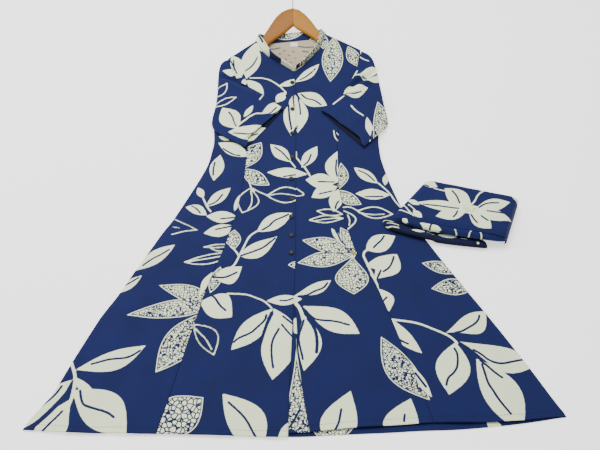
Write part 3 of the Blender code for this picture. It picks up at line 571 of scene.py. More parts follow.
RIGHT_CENTRE_PRINT = {
    "leaves": (
        (-13, 31, -10.8, 42, 2.5, 2.5), (-14, 32, -17, 38.5, 1.7, 1.8),
        (-14, 31.6, -19.2, 33, 1.2, 1.3), (-13.5, 31, -13.5, 28.6, 0.7, 0.7),
        (-12.8, 30.6, -8.3, 25.6, 1.5, 1.5), (-10.8, 42, -8.3, 39.3, 0.9, 0.9),
        (-4.6, 28.4, 0.9, 30.9, 0.6, 1.3), (-2.6, 26.2, -5.2, 22.9, 1.1, 1.4),
        (-1.3, 3.6, -6.4, 9.4, 1.7, 1.7), (-9.1, -16.9, -0.9, -11.6, 2.4, 1.9),
        (-12.8, -23.5, -4.3, -18.2, 1.2, 2.8, 0.4), (-17.9, -29.5, -12.1, -26.4, 1.5, 3, 0.42),
        (-21, -35.5, -13.8, -39.5, 4.4, 2.1),
        (-5.1, -37.3, -13.7, -47.6, 2.5, 2.4), (-4.6, -38, -4.8, -54.5, 4.5, 2.6, 0.55),
        (-5, -37.2, 0.5, -47, 2, 1.5), (-7.2, -71.5, -15, -57.6, 2.2, 5.4),
        (-3.5, -69, -0.8, -63.4, 1, 2)) + LAP_LEAVES,
    "nets": ((-12.8, 1.8, -8.6, 10, 2.9, 2.1), (-13.2, 1.8, -6.3, -3.3, 1.7, 2.3),
             (-13.9, -21.6, -14.2, -16.2, 2.2, 1.4), (-1.9, -26, 3, -26, 1.1, 1.1),
             (-18.9, -33.4, -16.9, -26.4, 1.4, 1.3)),
    "coarse": ((-29, -68, -18.9, -58.4, 5, 4, 0.55),),
    "rings": ((0.36, -11, -4.2, -12.6, -11.4, 3, 1.9), (0.42, -6.9, -6.4, 2, -6, 2.2, 2.4),
              (0.36, -22, -41.2, -17.3, -48.6, 3.2, 1.2)),
    "strokes": (
        (0.45, -12, 31.2, -10, 31.2, -8, 31, -6, 29.9, -4.2, 28.2, -2.7, 26.2),
        (0.4, -11.3, -2, -10.8, -4, -10, -5), (0.4, -10.2, -4.3, -8.8, -5.3, -6.9, -6.3),
        (0.35, -10.8, -5, -10.4, -7, -10.5, -9, -11.2, -10.3),
        (0.35, -6.8, -6.4, -4, -5.8, 0, -6.5), (0.45, -1.3, 3.6, -0.2, 2),
        (0.5, -14.9, -20.9, -13.7, -22.1, -12.9, -23.6),
        (0.5, -12.7, -23.1, -11.8, -20.8, -10.7, -18, -9.1, -16.8),
        (0.5, -12.9, -23.6, -13.7, -25.8, -14.9, -27),
        (0.45, -15.1, -33.5, -10.9, -33.7, -9.2, -34.4, -7, -35.3, -5.3, -37.1),
        (0.4, -21.5, -42.3, -20.3, -43.7, -19.2, -44.7, -17.8, -47.3)),
    "veins": (
        (0.34, -13.3, 33.5, -11.5, 35, -10.2, 37.7), (0.3, -17.2, 36.8, -15.5, 32.8),
        (0.3, -16.5, 37, -16.2, 34),
        (0.45, -2, 22, -1.8, 18, -1.2, 14), (0.5, -2.6, 25.3, -1.9, 22.8, -3.2, 20.5),
        (0.3, -0.9, 24.5, -0.6, 21.5),
        (0.34, -5.3, 8.4, -3.5, 6.8, -1.8, 4.3), (0.34, -3, -0.8, 0, -0.2, 2, 0),
        (0.4, -7.8, -16.3, -6.4, -15.4, -5.1, -13.6, -3.3, -12.9, -1.8, -12),
        (0.4, -12.5, -23.5, -9.9, -22.5, -7.4, -21.3, -6.2, -20, -4.8, -18.7),
        (0.4, -18.3, -29.2, -16.4, -29.4, -14.9, -28.9, -13.2, -27.9),
        (0.45, -19.1, -33.7, -18.2, -34.1, -17.4, -35.1, -16.7, -36.4, -15.3, -37.8),
        (0.34, -3.5, -35.3, -2.1, -35.4, -0.7, -34.8),
        (0.42, -6.4, -38.9, -6.6, -40.2, -8.5, -42.2, -9.6, -43.4, -12.2, -44.6, -13.2, -45.7),
        (0.42, -3.6, -42.4, -4.9, -44.9, -5.2, -46.9, -5, -49.9, -4.7, -51.7),
        (0.4, -2.8, -39.3, -1.8, -40.2, -0.7, -41.1),
        (0.4, -3, -41.4, -2, -42.8, -0.9, -44.1, 0.2, -45.1),
        (0.7, -5.3, -38.4, -6.2, -41, -7.2, -44.6, -7.9, -47.6),
        (0.45, -13.7, -59.5, -12.3, -60.8, -10.9, -62.1, -9.8, -63.5, -8.5, -66, -7.9,
         -67)) + LAP_VEINS}

front_panel(
    "kurti_front_centre_right", (92, 388),
    lambda y: np.where(y <= 26.0, along(LEFT_SEAM, y, reach=1.2) + SEAM,
                       np.where(y <= 37.8, along(LEFT_ARMHOLE, y, reach=0.5),
                                -18.0 + (y - 37.8) / 0.722)),
    lambda y: np.where(y <= 33.3, along(LAP_EDGE, y, reach=1.2), along(LEFT_NECK, y, reach=0.4)),
    (-66.3, -67.0), 42.7, FRONT_HEM, lap_top, RIGHT_CENTRE_PRINT, "front_centre_right")

LEFT_CENTRE_PRINT = {
    "leaves": (
        (-0.4, 29.7, 5.9, 35.6, 0.9, 1.7), (1.3, 2, 5.1, 8.7, 1.6, 1.6),
        (9.8, -2.6, 10.1, 7.2, 3, 1.5), (9.6, -2.4, 2.2, -1.7, 2.2, 2.3),
        (9.8, -3.6, 3.6, -7, 1.7, 2.1), (10, -4.4, 8.7, -11.2, 1.6, 1.6),
        (10.6, -20.2, 8.1, -15.8, 0.7, 0.7), (-1, -34.4, 7.8, -30, 0.9, 1.9, 0.62),
        (1.4, -36.6, 13.7, -43.6, 3.1, 2.5, 0.55),
        (1.8, -39, 1.7, -52.4, 3.8, 1.2), (8, -69.5, 11.3, -57, 4.4, 3, 0.4),
        (20.5, -69, 23.6, -58.6, 4.2, 3, 0.4),
        (-4.6, -38, -4.8, -54.5, 4.5, 3, 0.55)) + LAP_LEAVES,
    "nets": ((10, 44, 8.7, 29.9, 2.8, 2.7), (7.3, 44.5, 7, 40.1, 1.2, 1.3),
             (13.5, 41, 16.2, 34.9, 1.7, 1.8), (13.2, -24, 10.2, -15.6, 1.2, 2.5),
             (12.9, -23, 1.3, -19.2, 1.5, 2.6), (12.8, -23.6, 0.3, -25.4, 2, 2.2)) + SEAM_NETS,
    "rings": ((0.4, 4.9, -10.9, 10.8, -11.8, 0.9, 0.9), (0.4, 3.1, -13.5, 10.9, -13, 1, 1)),
    "strokes": (
        (0.32, 0, 7, 0, 5.2), (0.36, 0, -4.3, 2.4, -6.2, -0.3, -6.6),
        (0.5, 0, 5.2, 1.5, 2.8, 2.5, 1.3, 3.3, -0.5), (0.35, 4.5, -13.7, 7, -13.2, 10.5, -12.9),
        (0.35, 9.3, 13.8, 9.5, 11.5, 10.3, 10.5, 11.3, 10), (0.35, 10, 13, 11.3, 11.5, 11.7, 8.7),
        (0.9, -0.3, -35.6, 0.6, -36.8, 1.2, -38.2, 1.6, -40)),
    "veins": (
        (0.34, 0.9, 30.5, 2, 31.2, 3.5, 32.5, 4.9, 34.1),
        (0.34, 1.8, 2.7, 3, 4, 3.6, 6.2),
        (0.34, 9.8, 4.5, 9.5, 1.5, 9.8, -0.5), (0.34, 5.3, -2.2, 9, -2.3),
        (0.34, 5.5, -5.9, 8.5, -5), (0.34, 10, -8, 9.4, -9, 9.2, -10.2),
        (0.34, 9.1, -16.6, 9.8, -18, 10.1, -19.3, 11.2, -20.5),
        (0.4, 0.6, -34.1, 2.4, -34, 4.3, -32.7, 6.1, -32.1, 7, -30.7),
        (0.42, 2.1, -37.7, 3, -38.9, 3.9, -39.8, 5, -40.2, 8.6, -40.4, 11.5, -41.5),
        (0.42, 1.7, -40.2, 1.3, -41.8, 0.7, -43.6, 0.6, -44.9, 0.8, -46.3, 1.3, -48.5, 1.5, -49.6),
        (0.7, 2.6, -39.8, 4.2, -42.4, 4.6, -45.4, 4.4, -48),
        (0.42, 9.3, -61, 9.1, -62, 8.9, -63.1, 8.6, -64.2, 8, -65.4),
        (0.42, 22.1, -62.2, 21.9, -63.6)) + LAP_VEINS,
    "gold": ((0.8, 12.7, -22.4, 13.3, -22.9), (0.35, 9.9, -3, 10.1, -3.8))}

front_panel(
    "kurti_front_centre_left", (92, 396),
    lambda y: np.where(y <= 33.3, along(UNDER_SEAM, y, reach=1.2) + SEAM,
                       along(RIGHT_NECK, y, reach=0.4)),
    lambda y: np.where(y <= 26.0, along(RIGHT_SEAM, y, reach=1.2) - SEAM,
                       np.where(y <= 40.5, along(RIGHT_ARMHOLE, y, reach=0.5),
                                16.8 - (y - 40.5) / 0.5)),
    (-66.0, -63.7), 44.8, FRONT_HEM_LEFT, front_top, LEFT_CENTRE_PRINT, "front_centre_left")

RIGHT_SIDE_PRINT = {
    "leaves": (
        (-19.3, 12.3, -16.5, 10.8, 0.6, 0.6), (-19.3, 10.2, -11.5, 5.5, 1.9, 1.9),
        (-18.6, 6.3, -19.8, -1.8, 1.7, 1.8), (-21.2, -9.6, -15.6, -4, 1.5, 1.5),
        (-23.5, -3.5, -22, -7, 0.9, 0.9),
        (-20.8, -12.1, -26.1, -9.3, 0.9, 1.8), (-36, -27.2, -27.6, -20.4, 2, 1.7),
        (-14.5, -11, -13.3, -6, 0.6, 0.7),
        (-13.6, -12.6, -21, -12.4, 1.8, 1.6), (-13.9, -15.3, -21.3, -17.3, 1.9, 1.5),
        (-39.5, -33.3, -34.4, -28.6, 1.1, 1.1), (-46, -52, -31.8, -46.4, 1.2, 3.3, 0.52),
        (-45.9, -56.8, -33.8, -66.6, 5.1, 3.4, 0.52), (-46.1, -53.6, -40.5, -58.6, 0.7, 1.3),
        (-46.4, -54.3, -55.3, -65.4, 1.6, 2.8),
        (-46, -58.8, -53.6, -71, 3.9, 2.2), (-20.9, -34, -18.6, -27.8, 1.2, 0.3)),
    "nets": ((-19.4, -34, -18.2, -27.4, 0.7, 0.9), (-18.4, -35.6, -30.4, -31.3, 1.9, 2.4, 0.4),
             (-18.6, -36.8, -36.8, -39, 1.9, 2.6, 0.42), (-19.6, -38, -29.2, -52.8, 3.5, 3.6)),
    "strokes": (
        (0.5, -22, -7, -21, -9.5, -20, -11),
        (0.36, -21, -21.1, -18.6, -20.4, -16.3, -20.3),
        (0.36, -21, -21.1, -17.8, -21.3, -15, -20.8),
        (0.36, -19.6, -21.3, -18.2, -22.2, -16, -22.2),
        (0.36, -25.1, -25.2, -22, -23.8, -18.6, -22.9, -16, -22.7),
        (0.4, -25.1, -25.2, -22, -24.6, -18.6, -24, -16.4, -23.4),
        (0.36, -25.1, -25.2, -22.4, -25.9, -19, -25.6, -16.6, -24.5),
        (0.36, -28.4, -12.8, -26.7, -14, -24.8, -15, -22.8, -16.3),
        (0.36, -22.8, -16.3, -25.2, -16.4, -28.6, -17.4),
        (0.3, -28.6, -15.2, -27, -15.6),
        (0.4, -23.2, -48.3, -25.2, -49.5, -27, -50.9, -29, -52.5),
        (0.8, -47.3, -50, -46.6, -51.5, -46, -53, -45.7, -54.5, -45.7, -57, -46, -59.5)),
    "veins": (
        (0.36, -18, 8.2, -16.5, 7, -15, 6, -13.8, 5.9), (0.36, -19.8, 4, -20.1, 2, -20, 0),
        (0.36, -20.5, -9, -18.8, -8.2, -17.5, -6),
        (0.34, -24.6, -9.2, -23.4, -10, -22.4, -11.4),
        (0.36, -34.5, -25.9, -32.5, -24.1, -30.5, -23, -28.8, -21.7),
        (0.34, -17.6, -13.1, -14.4, -12.8),
        (0.34, -18.6, -16.2, -15, -15.2), (0.36, -38.1, -31.2, -37, -30.6, -35.1, -29.2),
        (0.42, -42.8, -50.8, -41, -50.3, -39.2, -49.7, -35.9, -49.4, -34.4, -48.8, -32.9, -47.6),
        (0.5, -44.3, -56.9, -43.9, -58.7, -43.3, -60.1, -41.6, -60.7, -38.2, -61.6, -36.7, -62.8),
        (0.42, -48.3, -55.7, -49.1, -57.3, -50.3, -58.8, -51.9, -60.2, -53.1, -61.3),
        (1.1, -46.8, -57.2, -49, -60.4, -51.5, -63.3, -54.5, -66.3),
        (0.42, -47.3, -61.4, -48.2, -62.6, -49.5, -64, -51.2, -66.3),
        (0.5, -45.6, -60.2, -45.6, -62.3, -45.2, -66.3))}

front_panel(
    "kurti_front_side_right", (94, 330),
    lambda y: np.minimum(side_edge(LEFT_SIDE, LEFT_ARMHOLE, y),
                         along(LEFT_SEAM, y, reach=1.2) - SEAM - 0.25),
    lambda y: along(LEFT_SEAM, y, reach=1.2) - SEAM,
    (-65.3, -66.3), 26.0, FRONT_HEM, front_top, RIGHT_SIDE_PRINT, "front_side_right")

LEFT_SIDE_PRINT = {
    "leaves": (
        (19.6, -2.6, 13.9, 2.2, 1.5, 1.5), (22.3, -6, 14, -5.8, 1.6, 1.6),
        (21.6, 0.5, 21.2, -3.2, 0.7, 0.7), (15.9, -21.8, 22.8, -18, 2.4, 2.4, 0.45),
        (17.2, -30, 22.9, -23.1, 2.5, 3.1, 0.6), (18.4, -32.2, 20.3, -38, 2.2, 0.9),
        (15.7, -26.2, 22.4, -23.4, 1.1, 2.6, 0.5),
        (20.6, -39.8, 26.7, -48.3, 0.9, 2.2), (23.6, -50.5, 28, -58.5, 0.9, 0.9),
        (32, -43.4, 41.3, -37.8, 1.3, 3.9, 0.62), (34, -45.6, 31.5, -57.9, 3.7, 3.5),
        (34.6, -45.4, 51, -50.6, 1.7, 4.2, 0.62), (37.9, -49.6, 45.4, -66.4, 4.9, 3, 0.5)),
    "nets": ((10, -4.6, 10.8, 3.6, 0.6, 2.2), (10, -4.6, 15.4, -9, 1.1, 2.3),
             (37, -27.8, 28.3, -25.4, 1.6, 1.7), (40, -31.7, 29.9, -32.2, 1.9, 2.5)) + SEAM_NETS,
    "rings": ((0.42, 14.4, -10.9, 22.5, -11.7, 1.6, 1.7),
              (0.42, 10.9, -10.7, 11.7, -16.3, 2.6, 0.3)),
    "strokes": (
        (0.45, 19.7, -2.6, 20.8, -3.8, 22.3, -5.5, 23.3, -7.8, 24.5, -9.5),
        (0.4, 10.8, -9.8, 12.7, -9.6, 14.4, -10.8), (0.35, 14.6, -11.3, 17.5, -12, 20.5, -11.8),
        (0.35, 12, -12, 12.5, -13.5, 12.3, -15),
        (0.6, 16.1, -21.9, 15.5, -22.4, 15.2, -23.3, 15.8, -25.1, 17, -28.4, 18, -31, 18.1, -32.4),
        (0.5, 16, -28.2, 17.3, -29.3),
        (0.55, 20.7, -40, 24.8, -40.6, 27, -41.3, 29.4, -42.4, 31.2, -43.2, 33.2, -44.4, 34.3,
         -45.8)),
    "veins": (
        (0.34, 15, 1.3, 17, 0.3, 18.7, -1.8), (0.34, 16.3, -6.7, 20.5, -6.5),
        (0.4, 20.2, -18, 19.5, -19.3, 18.7, -20, 17.7, -21.2),
        (0.4, 22.1, -23.8, 21.6, -25.5, 20.8, -26.8, 19.6, -27.7), (0.4, 19, -27.4, 18.1, -29.5),
        (0.36, 20, -34.4, 19.1, -35.3), (0.4, 21.8, -44.6, 22.7, -45.4, 23.9, -46),
        (0.45, 24.9, -52.8, 26.9, -56),
        (0.42, 34.1, -43.3, 35.5, -43.1, 36.9, -42.2, 38.6, -41.1, 39.6, -39.8, 39.8, -38.9),
        (0.42, 33.6, -47.1, 34.2, -48.4, 33.9, -51.3, 33, -52.8, 31.5, -54.1, 31.1, -55.7),
        (0.45, 37.6, -47.5, 39.1, -48.5, 40.4, -49.8, 41.9, -50.5, 43.5, -50.6, 45.9, -50, 47.8,
         -49.6),
        (0.45, 38.7, -50, 40.2, -51.4, 41.7, -53, 42.9, -53.9),
        (0.45, 39, -51, 39.4, -53.1, 39.7, -55.1, 40.7, -57.1, 41.6, -59.1, 43.6, -62.1))}

front_panel(
    "kurti_front_side_left", (94, 330),
    lambda y: along(RIGHT_SEAM, y, reach=1.2) + SEAM,
    lambda y: np.maximum(side_edge(RIGHT_SIDE, RIGHT_ARMHOLE, y),
                         along(RIGHT_SEAM, y, reach=1.2) + SEAM + 0.25),
    (-63.7, -62.4), 26.0, FRONT_HEM_LEFT, front_top, LEFT_SIDE_PRINT, "front_side_left")

# Under band: a doubled strip of the same cotton, sewn down the wearer's left front
# edge to back the lap. It shows only where the lap swings away near the hem.
BAND_PRINT = {
    "nets": ((0.1, -44.5, 0.4, -72, 2.6, 2.2, 0.7),),
    "strokes": ((1.6, 0.2, -40.2, 0.2, -42.8),),
    "veins": ((0.4, 0.9, -61, -0.4, -63.6, -1.2, -64.9), (1.4, -0.9, -65.8, 0.2, -66.6))}

front_panel(
    "kurti_under_band", (16, 354),
    lambda y: along(LAP_EDGE, y, reach=1.2) - 2.9,
    lambda y: along(UNDER_SEAM, y, reach=1.2) - SEAM,
    (-66.5, -66.0), 33.0, FRONT_HEM_LEFT, lambda x, y: front_top(x, y) - 0.03, BAND_PRINT,
    "underlap_band")

# Collar: a standing band of the same cotton, doubled over a stiff lining, sewn round
# the neck and open at the front where its two ends meet.
# Stations round the neck: x, y, z at the lower edge and x, y, z at the upper edge
COLLAR = ((-1.25, 33.8, 2.5, -1.0, 33.4, 3.9), (-1.9, 34.23, 2.55, -1.75, 34.0, 4.35),
          (-3.0, 35.02, 2.65, -3.0, 34.8, 4.6), (-5.35, 36.86, 2.95, -5.2, 36.4, 4.9),
          (-7.72, 38.43, 3.35, -6.8, 38.0, 5.2), (-9.36, 40.3, 3.9, -7.9, 40.1, 5.7),
          (-10.34, 42.4, 4.3, -9.1, 42.5, 5.8), (-10.95, 43.35, 4.1, -9.9, 44.2, 5.2),
          (-10.7, 43.6, 3.5, -9.9, 45.2, 4.7), (-9.4, 43.3, 3.0, -9.0, 45.6, 3.65),
          (-7.0, 43.52, 2.98, -6.7, 45.8, 3.45), (-3.2, 43.96, 3.0, -3.3, 46.3, 3.5),
          (1.0, 44.44, 3.1, 0.9, 46.8, 3.6), (4.6, 44.86, 3.22, 4.3, 47.2, 3.75),
          (6.6, 45.2, 3.4, 5.9, 47.2, 4.0), (7.75, 45.75, 4.0, 6.6, 46.9, 4.8),
          (7.52, 45.4, 4.6, 6.5, 45.6, 5.6), (7.0, 43.9, 4.6, 6.0, 43.6, 6.0),
          (6.64, 42.22, 4.3, 5.8, 41.6, 5.9), (5.7, 40.25, 3.8, 5.0, 39.6, 5.6),
          (3.96, 37.97, 3.15, 3.4, 37.3, 5.0), (1.76, 35.57, 2.75, 1.4, 35.0, 4.65),
          (0.45, 34.72, 2.6, 0.5, 34.2, 4.3), (-0.45, 33.66, 2.55, -0.5, 33.4, 3.9))


def flowing(rows, share, column):
    """A column read along evenly spaced rows, eased so that it has no corners."""
    rows = np.array(rows, float)
    steps = np.arange(len(rows))
    at = share * (len(rows) - 1)
    return sum(np.interp(at + shift, steps, rows[:, column])
               for shift in (-0.45, -0.2, 0.0, 0.2, 0.45)) / 5.0


data, height, run = woven("kurti_collar_band", 14, 360)
base_x, base_y, base_z, top_x, top_y, top_z = [flowing(COLLAR, run, at) for at in range(6)]
# Its lower edge runs on under the neck edge of the body, where it is sewn
reach = mix(-0.16, 1.0, height)
x = mix(base_x, top_x, reach)
y = mix(base_y, top_y, reach)
z = mix(base_z, top_z, reach)
lay(data, x, y, z)
paint(data, x, y, stitch=np.minimum(1.0 - height, height) * 1.9 - 0.22,
      leaves=((-11.4, 45.5, -7, 37.6, 1.4, 1.6), (-4.2, 36.6, 0, 33, 1.3, 1.3)),
      nets=((0.9, 33.2, 7.4, 48.2, 2.6, 2.6), (-6.4, 44.9, 2.6, 47.2, 1.1, 1.6)),
      veins=((0.3, -10.2, 44.4, -8.8, 41.2), (0.3, -3.4, 35.9, -1.6, 34.6)))
collar = piece(data, cotton, ["collar_band"], wall=0.2, offset=0.0)

# Neck label: a blank tape of white satin weave, folded at its ends and sewn inside
# the back neck.
tape, tree, place = material("white_satin_tape")
ribs = waves(tree, place, 400.0, "Y")
look(tree, {"Base Color": blend(tree, ribs, "#d9d9d4", "#f1f1ec"),
            "Normal": bump(tree, ribs, 0.2, 0.0002), "Roughness": 0.55})
data, across, up = woven("kurti_neck_label", 24, 16)
x = mix(-1.7, 0.3, across)
y = mix(42.15, 43.45, up) + 0.1 * across
edge = np.minimum(np.minimum(across, 1.0 - across) * 2.0, np.minimum(up, 1.0 - up) * 1.3)
lay(data, x, y, back_top(x, y) + GAP + 0.08 + 0.05 * soft(edge / 0.3))
label = piece(data, tape, ["neck_label"], wall=0.05)

# Sleeves: two elbow-length tubes of the same cotton, one cut each, sewn in at the
# armhole and folded across the chest, so that each cuff opens towards the hem. A
# crease starts at the underarm.
# Shares of the way round a sleeve: its upper side ends, its lower side starts and ends
UPPER_END = 0.45
LOWER_START = 0.5
LOWER_END = 0.95
BEND = 0.05
STATION_STEP = 3.2
CUFF_STITCH = 1.5
# A crease's depth and width, and the fold beside it: height, distance away and width
CREASE_DEPTH = 0.8
CREASE_WIDTH = 0.62
FOLD_HEIGHT = 0.4
FOLD_AWAY = 1.7
FOLD_WIDTH = 0.8
# Stations from the shoulder to the cuff: outer x, y, inner x, y, thickness, lift
LEFT_SLEEVE = ((-17.85, 37.2, -15.25, 29.8, 0.5, -0.4), (-19.4, 36.5, -14.5, 28.7, 0.7, -0.3),
               (-20.2, 34.4, -13.0, 27.8, 0.85, -0.1), (-20.3, 30.4, -11.4, 26.8, 0.95, 0.0),
               (-20.2, 26.0, -9.8, 25.8, 1.0, 0.0), (-20.4, 21.6, -8.3, 24.8, 1.0, 0.0),
               (-21.1, 18.0, -7.0, 23.7, 0.95, 0.0), (-21.3, 15.4, -5.8, 22.6, 0.9, 0.0),
               (-20.1, 13.2, -4.9, 21.8, 0.85, 0.0), (-16.3, 10.4, -4.0, 21.1, 0.8, 0.0),
               (-11.8, 7.6, -3.1, 20.3, 0.8, 0.0))
RIGHT_SLEEVE = ((16.75, 39.75, 14.6, 30.6, 0.5, -0.4), (19.2, 38.7, 13.8, 29.1, 0.7, -0.3),
                (20.4, 36.2, 12.6, 27.4, 0.85, -0.1), (21.1, 31.3, 11.3, 25.4, 0.95, 0.0),
                (21.8, 26.0, 10.2, 23.4, 1.0, 0.0), (22.3, 21.4, 9.2, 21.9, 1.0, 0.0),
                (23.1, 17.8, 8.4, 21.1, 0.95, 0.0), (22.9, 15.2, 7.7, 20.6, 0.9, 0.0),
                (19.8, 11.9, 7.0, 20.1, 0.85, 0.0), (16.1, 7.6, 6.2, 19.6, 0.8, 0.0))
LEFT_CREASE = np.array(((-20.6, 31.6), (-17.0, 30.3), (-13.7, 28.3), (-8.3, 25.2)))
RIGHT_CREASE = np.array(((21.0, 33.0), (15.5, 29.0), (11.5, 25.2)))


def close_up(data, reach=2e-5):
    """Join the seam where a grid has been rolled into a closed form."""
    joined = bmesh.new()
    joined.from_mesh(data)
    bmesh.ops.remove_doubles(joined, verts=joined.verts, dist=reach)
    bmesh.ops.recalc_face_normals(joined, faces=joined.faces)
    joined.to_mesh(data)
    joined.free()


def sleeve(name, stations, bow, crease, ink, node):
    """Lay one sleeve as a flattened tube, from the armhole to the cuff."""
    data, turn, run = woven(name, 100, 160)
    # The upper side stops short at the cuff, so the inside of the lower side shows
    run = run * (1.0 - 0.04 * soft(np.sin(np.pi * np.clip(turn / 0.47, 0.0, 1.0)) * 2.0) * run)
    outer_x, outer_y, inner_x, inner_y, high, lift = [
        flowing(stations, run, at) for at in range(6)]
    half = high / 2.0
    length = np.hypot(inner_x - outer_x, inner_y - outer_y)
    way_x = (inner_x - outer_x) / length
    way_y = (inner_y - outer_y) / length
    inset = half / length
    on_top = turn < UPPER_END
    inner_bend = (turn >= UPPER_END) & (turn < LOWER_START)
    below = (turn >= LOWER_START) & (turn < LOWER_END)
    share = np.select([on_top, inner_bend, below],
                      [turn / UPPER_END, 1.0, 1.0 - (turn - LOWER_START) / UPPER_END], 0.0)
    angle = np.select([on_top, inner_bend, below],
                      [0.0, (turn - UPPER_END) / BEND * np.pi, np.pi],
                      np.pi + (turn - LOWER_END) / BEND * np.pi)
    place = mix(inset, 1.0 - inset, share)
    x = mix(outer_x, inner_x, place)
    y = mix(outer_y, inner_y, place)
    bowed = bow * 4.0 * share * (1.0 - share) * np.clip(1.0 - run * (len(stations) - 1), 0.0, 1.0)
    x = x - way_y * bowed
    y = y + way_x * bowed
    level = mound(x * 0.97, y) + arm_ridge(x, y) + 0.16 + lift * (1.0 - soft(share / 0.75))
    level = level + half + half * np.cos(angle)
    spots = np.stack([x, y], axis=1)
    top = on_top * np.sin(np.pi * share) ** 0.5
    away = line_distance(spots, crease)
    dip = CREASE_DEPTH * np.exp(-(away / CREASE_WIDTH) ** 2)
    fold = FOLD_HEIGHT * np.exp(-((away - FOLD_AWAY) / FOLD_WIDTH) ** 2)
    level = level + top * (fold - dip + creases(x * 1.7, y * 1.7, 4.5))
    x = x + way_x * half * np.sin(angle)
    y = y + way_y * half * np.sin(angle)
    lay(data, x, y, level)
    cuff = (1.0 - run) * (len(stations) - 1) * STATION_STEP
    # Painted shade inside the cuff: the lower side's inner face near the opening is darkened
    # towards blue-black
    inside = below * soft((run - 0.9) / 0.04)
    paint(data, x, y, deep=0.9 * inside, stitch=cuff - CUFF_STITCH, **ink)
    close_up(data, 1e-6)
    made = piece(data, cotton, [node], wall=0.1)


# The print on each sleeve's upper face, charted as on the front
RIGHT_SLEEVE_PRINT = {
    "leaves": ((-14, 31.6, -19.2, 33, 1.2, 1.3), (-14.6, 13.6, -18.7, 20.6, 2.7, 2.7),
               (-8.6, 18.4, -3.3, 22.2, 1.5, 1.5), (-13.2, 17.3, -10.9, 21.2, 0.7, 0.8),
               (-17, 12.7, -7.2, 14.3, 1.2, 3.4)),
    "rings": ((0.4, -17.8, 28.3, -20.8, 24, 1.2, 1.2), (0.4, -15.3, 23.8, -21, 21, 0.9, 0.9)),
    "strokes": ((0.4, -8.3, 25.3, -8.5, 24.3, -9.3, 23),
                (0.5, -15, 14.2, -13.5, 15.8, -12, 17.3, -10.5, 18.3, -8.5, 18.5)),
    "veins": ((0.36, -17, 19, -16, 17.5, -15.5, 15.5, -15, 14.5),
              (0.34, -7.7, 18.3, -6.7, 18.5, -5, 20.5),
              (0.36, -15.5, 12.2, -13.5, 12, -11.5, 11.8, -9.5, 12.5))}
LEFT_SLEEVE_PRINT = {
    "leaves": ((16.2, 31.2, 24, 32, 2.6, 2.6), (12, 25, 18.3, 27.2, 2.1, 2.4, 0.42),
               (18.6, 10.8, 17.6, 17.6, 0.9, 0.9), (18.2, 10.5, 19.6, 5.3, 1.1, 1.1)),
    "nets": ((19, 10.6, 20.6, 22.8, 0.5, 4.4),),
    "strokes": ((0.4, 16.6, 37.5, 17.5, 36.7, 18.8, 36.3), (0.4, 18.5, 39.5, 19.7, 37.7),
                (0.45, 14.2, 30.1, 15, 31, 16.2, 31.3), (0.4, 15, 31.2, 15.7, 33),
                (0.45, 9.3, 21.5, 10.5, 22.7, 12, 23.9), (0.5, 13.8, 21, 14.8, 19.5, 16.7, 18)),
    "veins": ((0.36, 17, 31, 19, 30.6, 20, 31.2, 21, 32.2),
              (0.34, 12.3, 24.8, 14.5, 24.9, 16.5, 25.8),
              (0.4, 18.9, 13, 18.3, 10.5), (0.34, 18.5, 9.5, 19.3, 6.5))}
sleeve("kurti_sleeve_right", LEFT_SLEEVE, -0.1, LEFT_CREASE, RIGHT_SLEEVE_PRINT, "sleeve_right")
sleeve("kurti_sleeve_left", RIGHT_SLEEVE, 0.15, RIGHT_CREASE, LEFT_SLEEVE_PRINT, "sleeve_left")


def cover(node, stuff):
    """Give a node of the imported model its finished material."""
    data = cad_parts[node].data
    data.materials.clear()
    data.materials.append(stuff)


# Hanger: two shaped halves of beech joined at a mitre under the hook, sanded round
# and dipped in clear varnish, which leaves the wood orange-yellow and satin.
for node, lean, light_tone, dark_tone in (("hanger_arm_left", 0.9, "#a26400", "#764400"),
                                          ("hanger_arm_right", -0.9, "#b47a06", "#8c5a04")):
    beech, tree, place = material("varnished_beech_" + node[11:])
    # The grain follows each arm down from the middle, streaks 1.5 mm apart
    grain = add(tree, "Mapping", {"Vector": place, "Rotation": (0.0, 0.0, lean),
                                  "Scale": (1.0, 9.0, 9.0)})
    streak = noise(tree, grain.outputs[0], 70.0, Detail=6.0, Distortion=0.4)
    look(tree, {"Base Color": blend(tree, streak, dark_tone, light_tone),
                "Normal": bump(tree, streak, 0.12, 0.0003), "Roughness": 0.5,
                "Specular IOR Level": 0.25, "Coat Weight": 0.05, "Coat Roughness": 0.2})
    cover(node, beech)

# Glue line: a thin brown film of dried wood glue, which fills the mitre between the
# two arms and holds them together.
GLUE_TOP = (-1.05, 52.85)
GLUE_FOOT = (-0.85, 47.95)
GLUE_DEPTH = 0.98
glue, tree, place = material("dried_wood_glue")
look(tree, {"Base Color": blend(tree, noise(tree, place, 400.0), "#4a2a0c", "#6d4214"),
            "Roughness": 0.6})
film = bmesh.new()
bmesh.ops.create_grid(film, x_segments=2, y_segments=12, size=0.5)
bmesh.ops.solidify(film, geom=film.faces[:], thickness=0.036)
for point in film.verts:
    part = point.co.y + 0.5
    y = mix(GLUE_FOOT[1], GLUE_TOP[1], part)
    x = mix(GLUE_FOOT[0], GLUE_TOP[0], part) + point.co.z + (-0.018 if point.co.z > 0 else 0.018)
    point.co = Vector((x, y, hanger_level(y) + point.co.x * GLUE_DEPTH)) * CM
bmesh.ops.recalc_face_normals(film, faces=film.faces)
data = bpy.data.meshes.new("hanger_glue_line")
film.to_mesh(data)
film.free()
piece(data, glue, [])

# Hook: bright drawn steel wire, bent and screwed into the wood. Its drawing lines are not drawn;
# its roughness only varies finely over it.
steel, tree, place = material("bright_drawn_steel")
look(tree, {"Base Color": linear("#c9c8c4"), "Metallic": 1.0,
            "Roughness": ramp(tree, noise(tree, place, 900.0), at_low=0.18, at_high=0.32)})
cover("hanger_hook", steel)
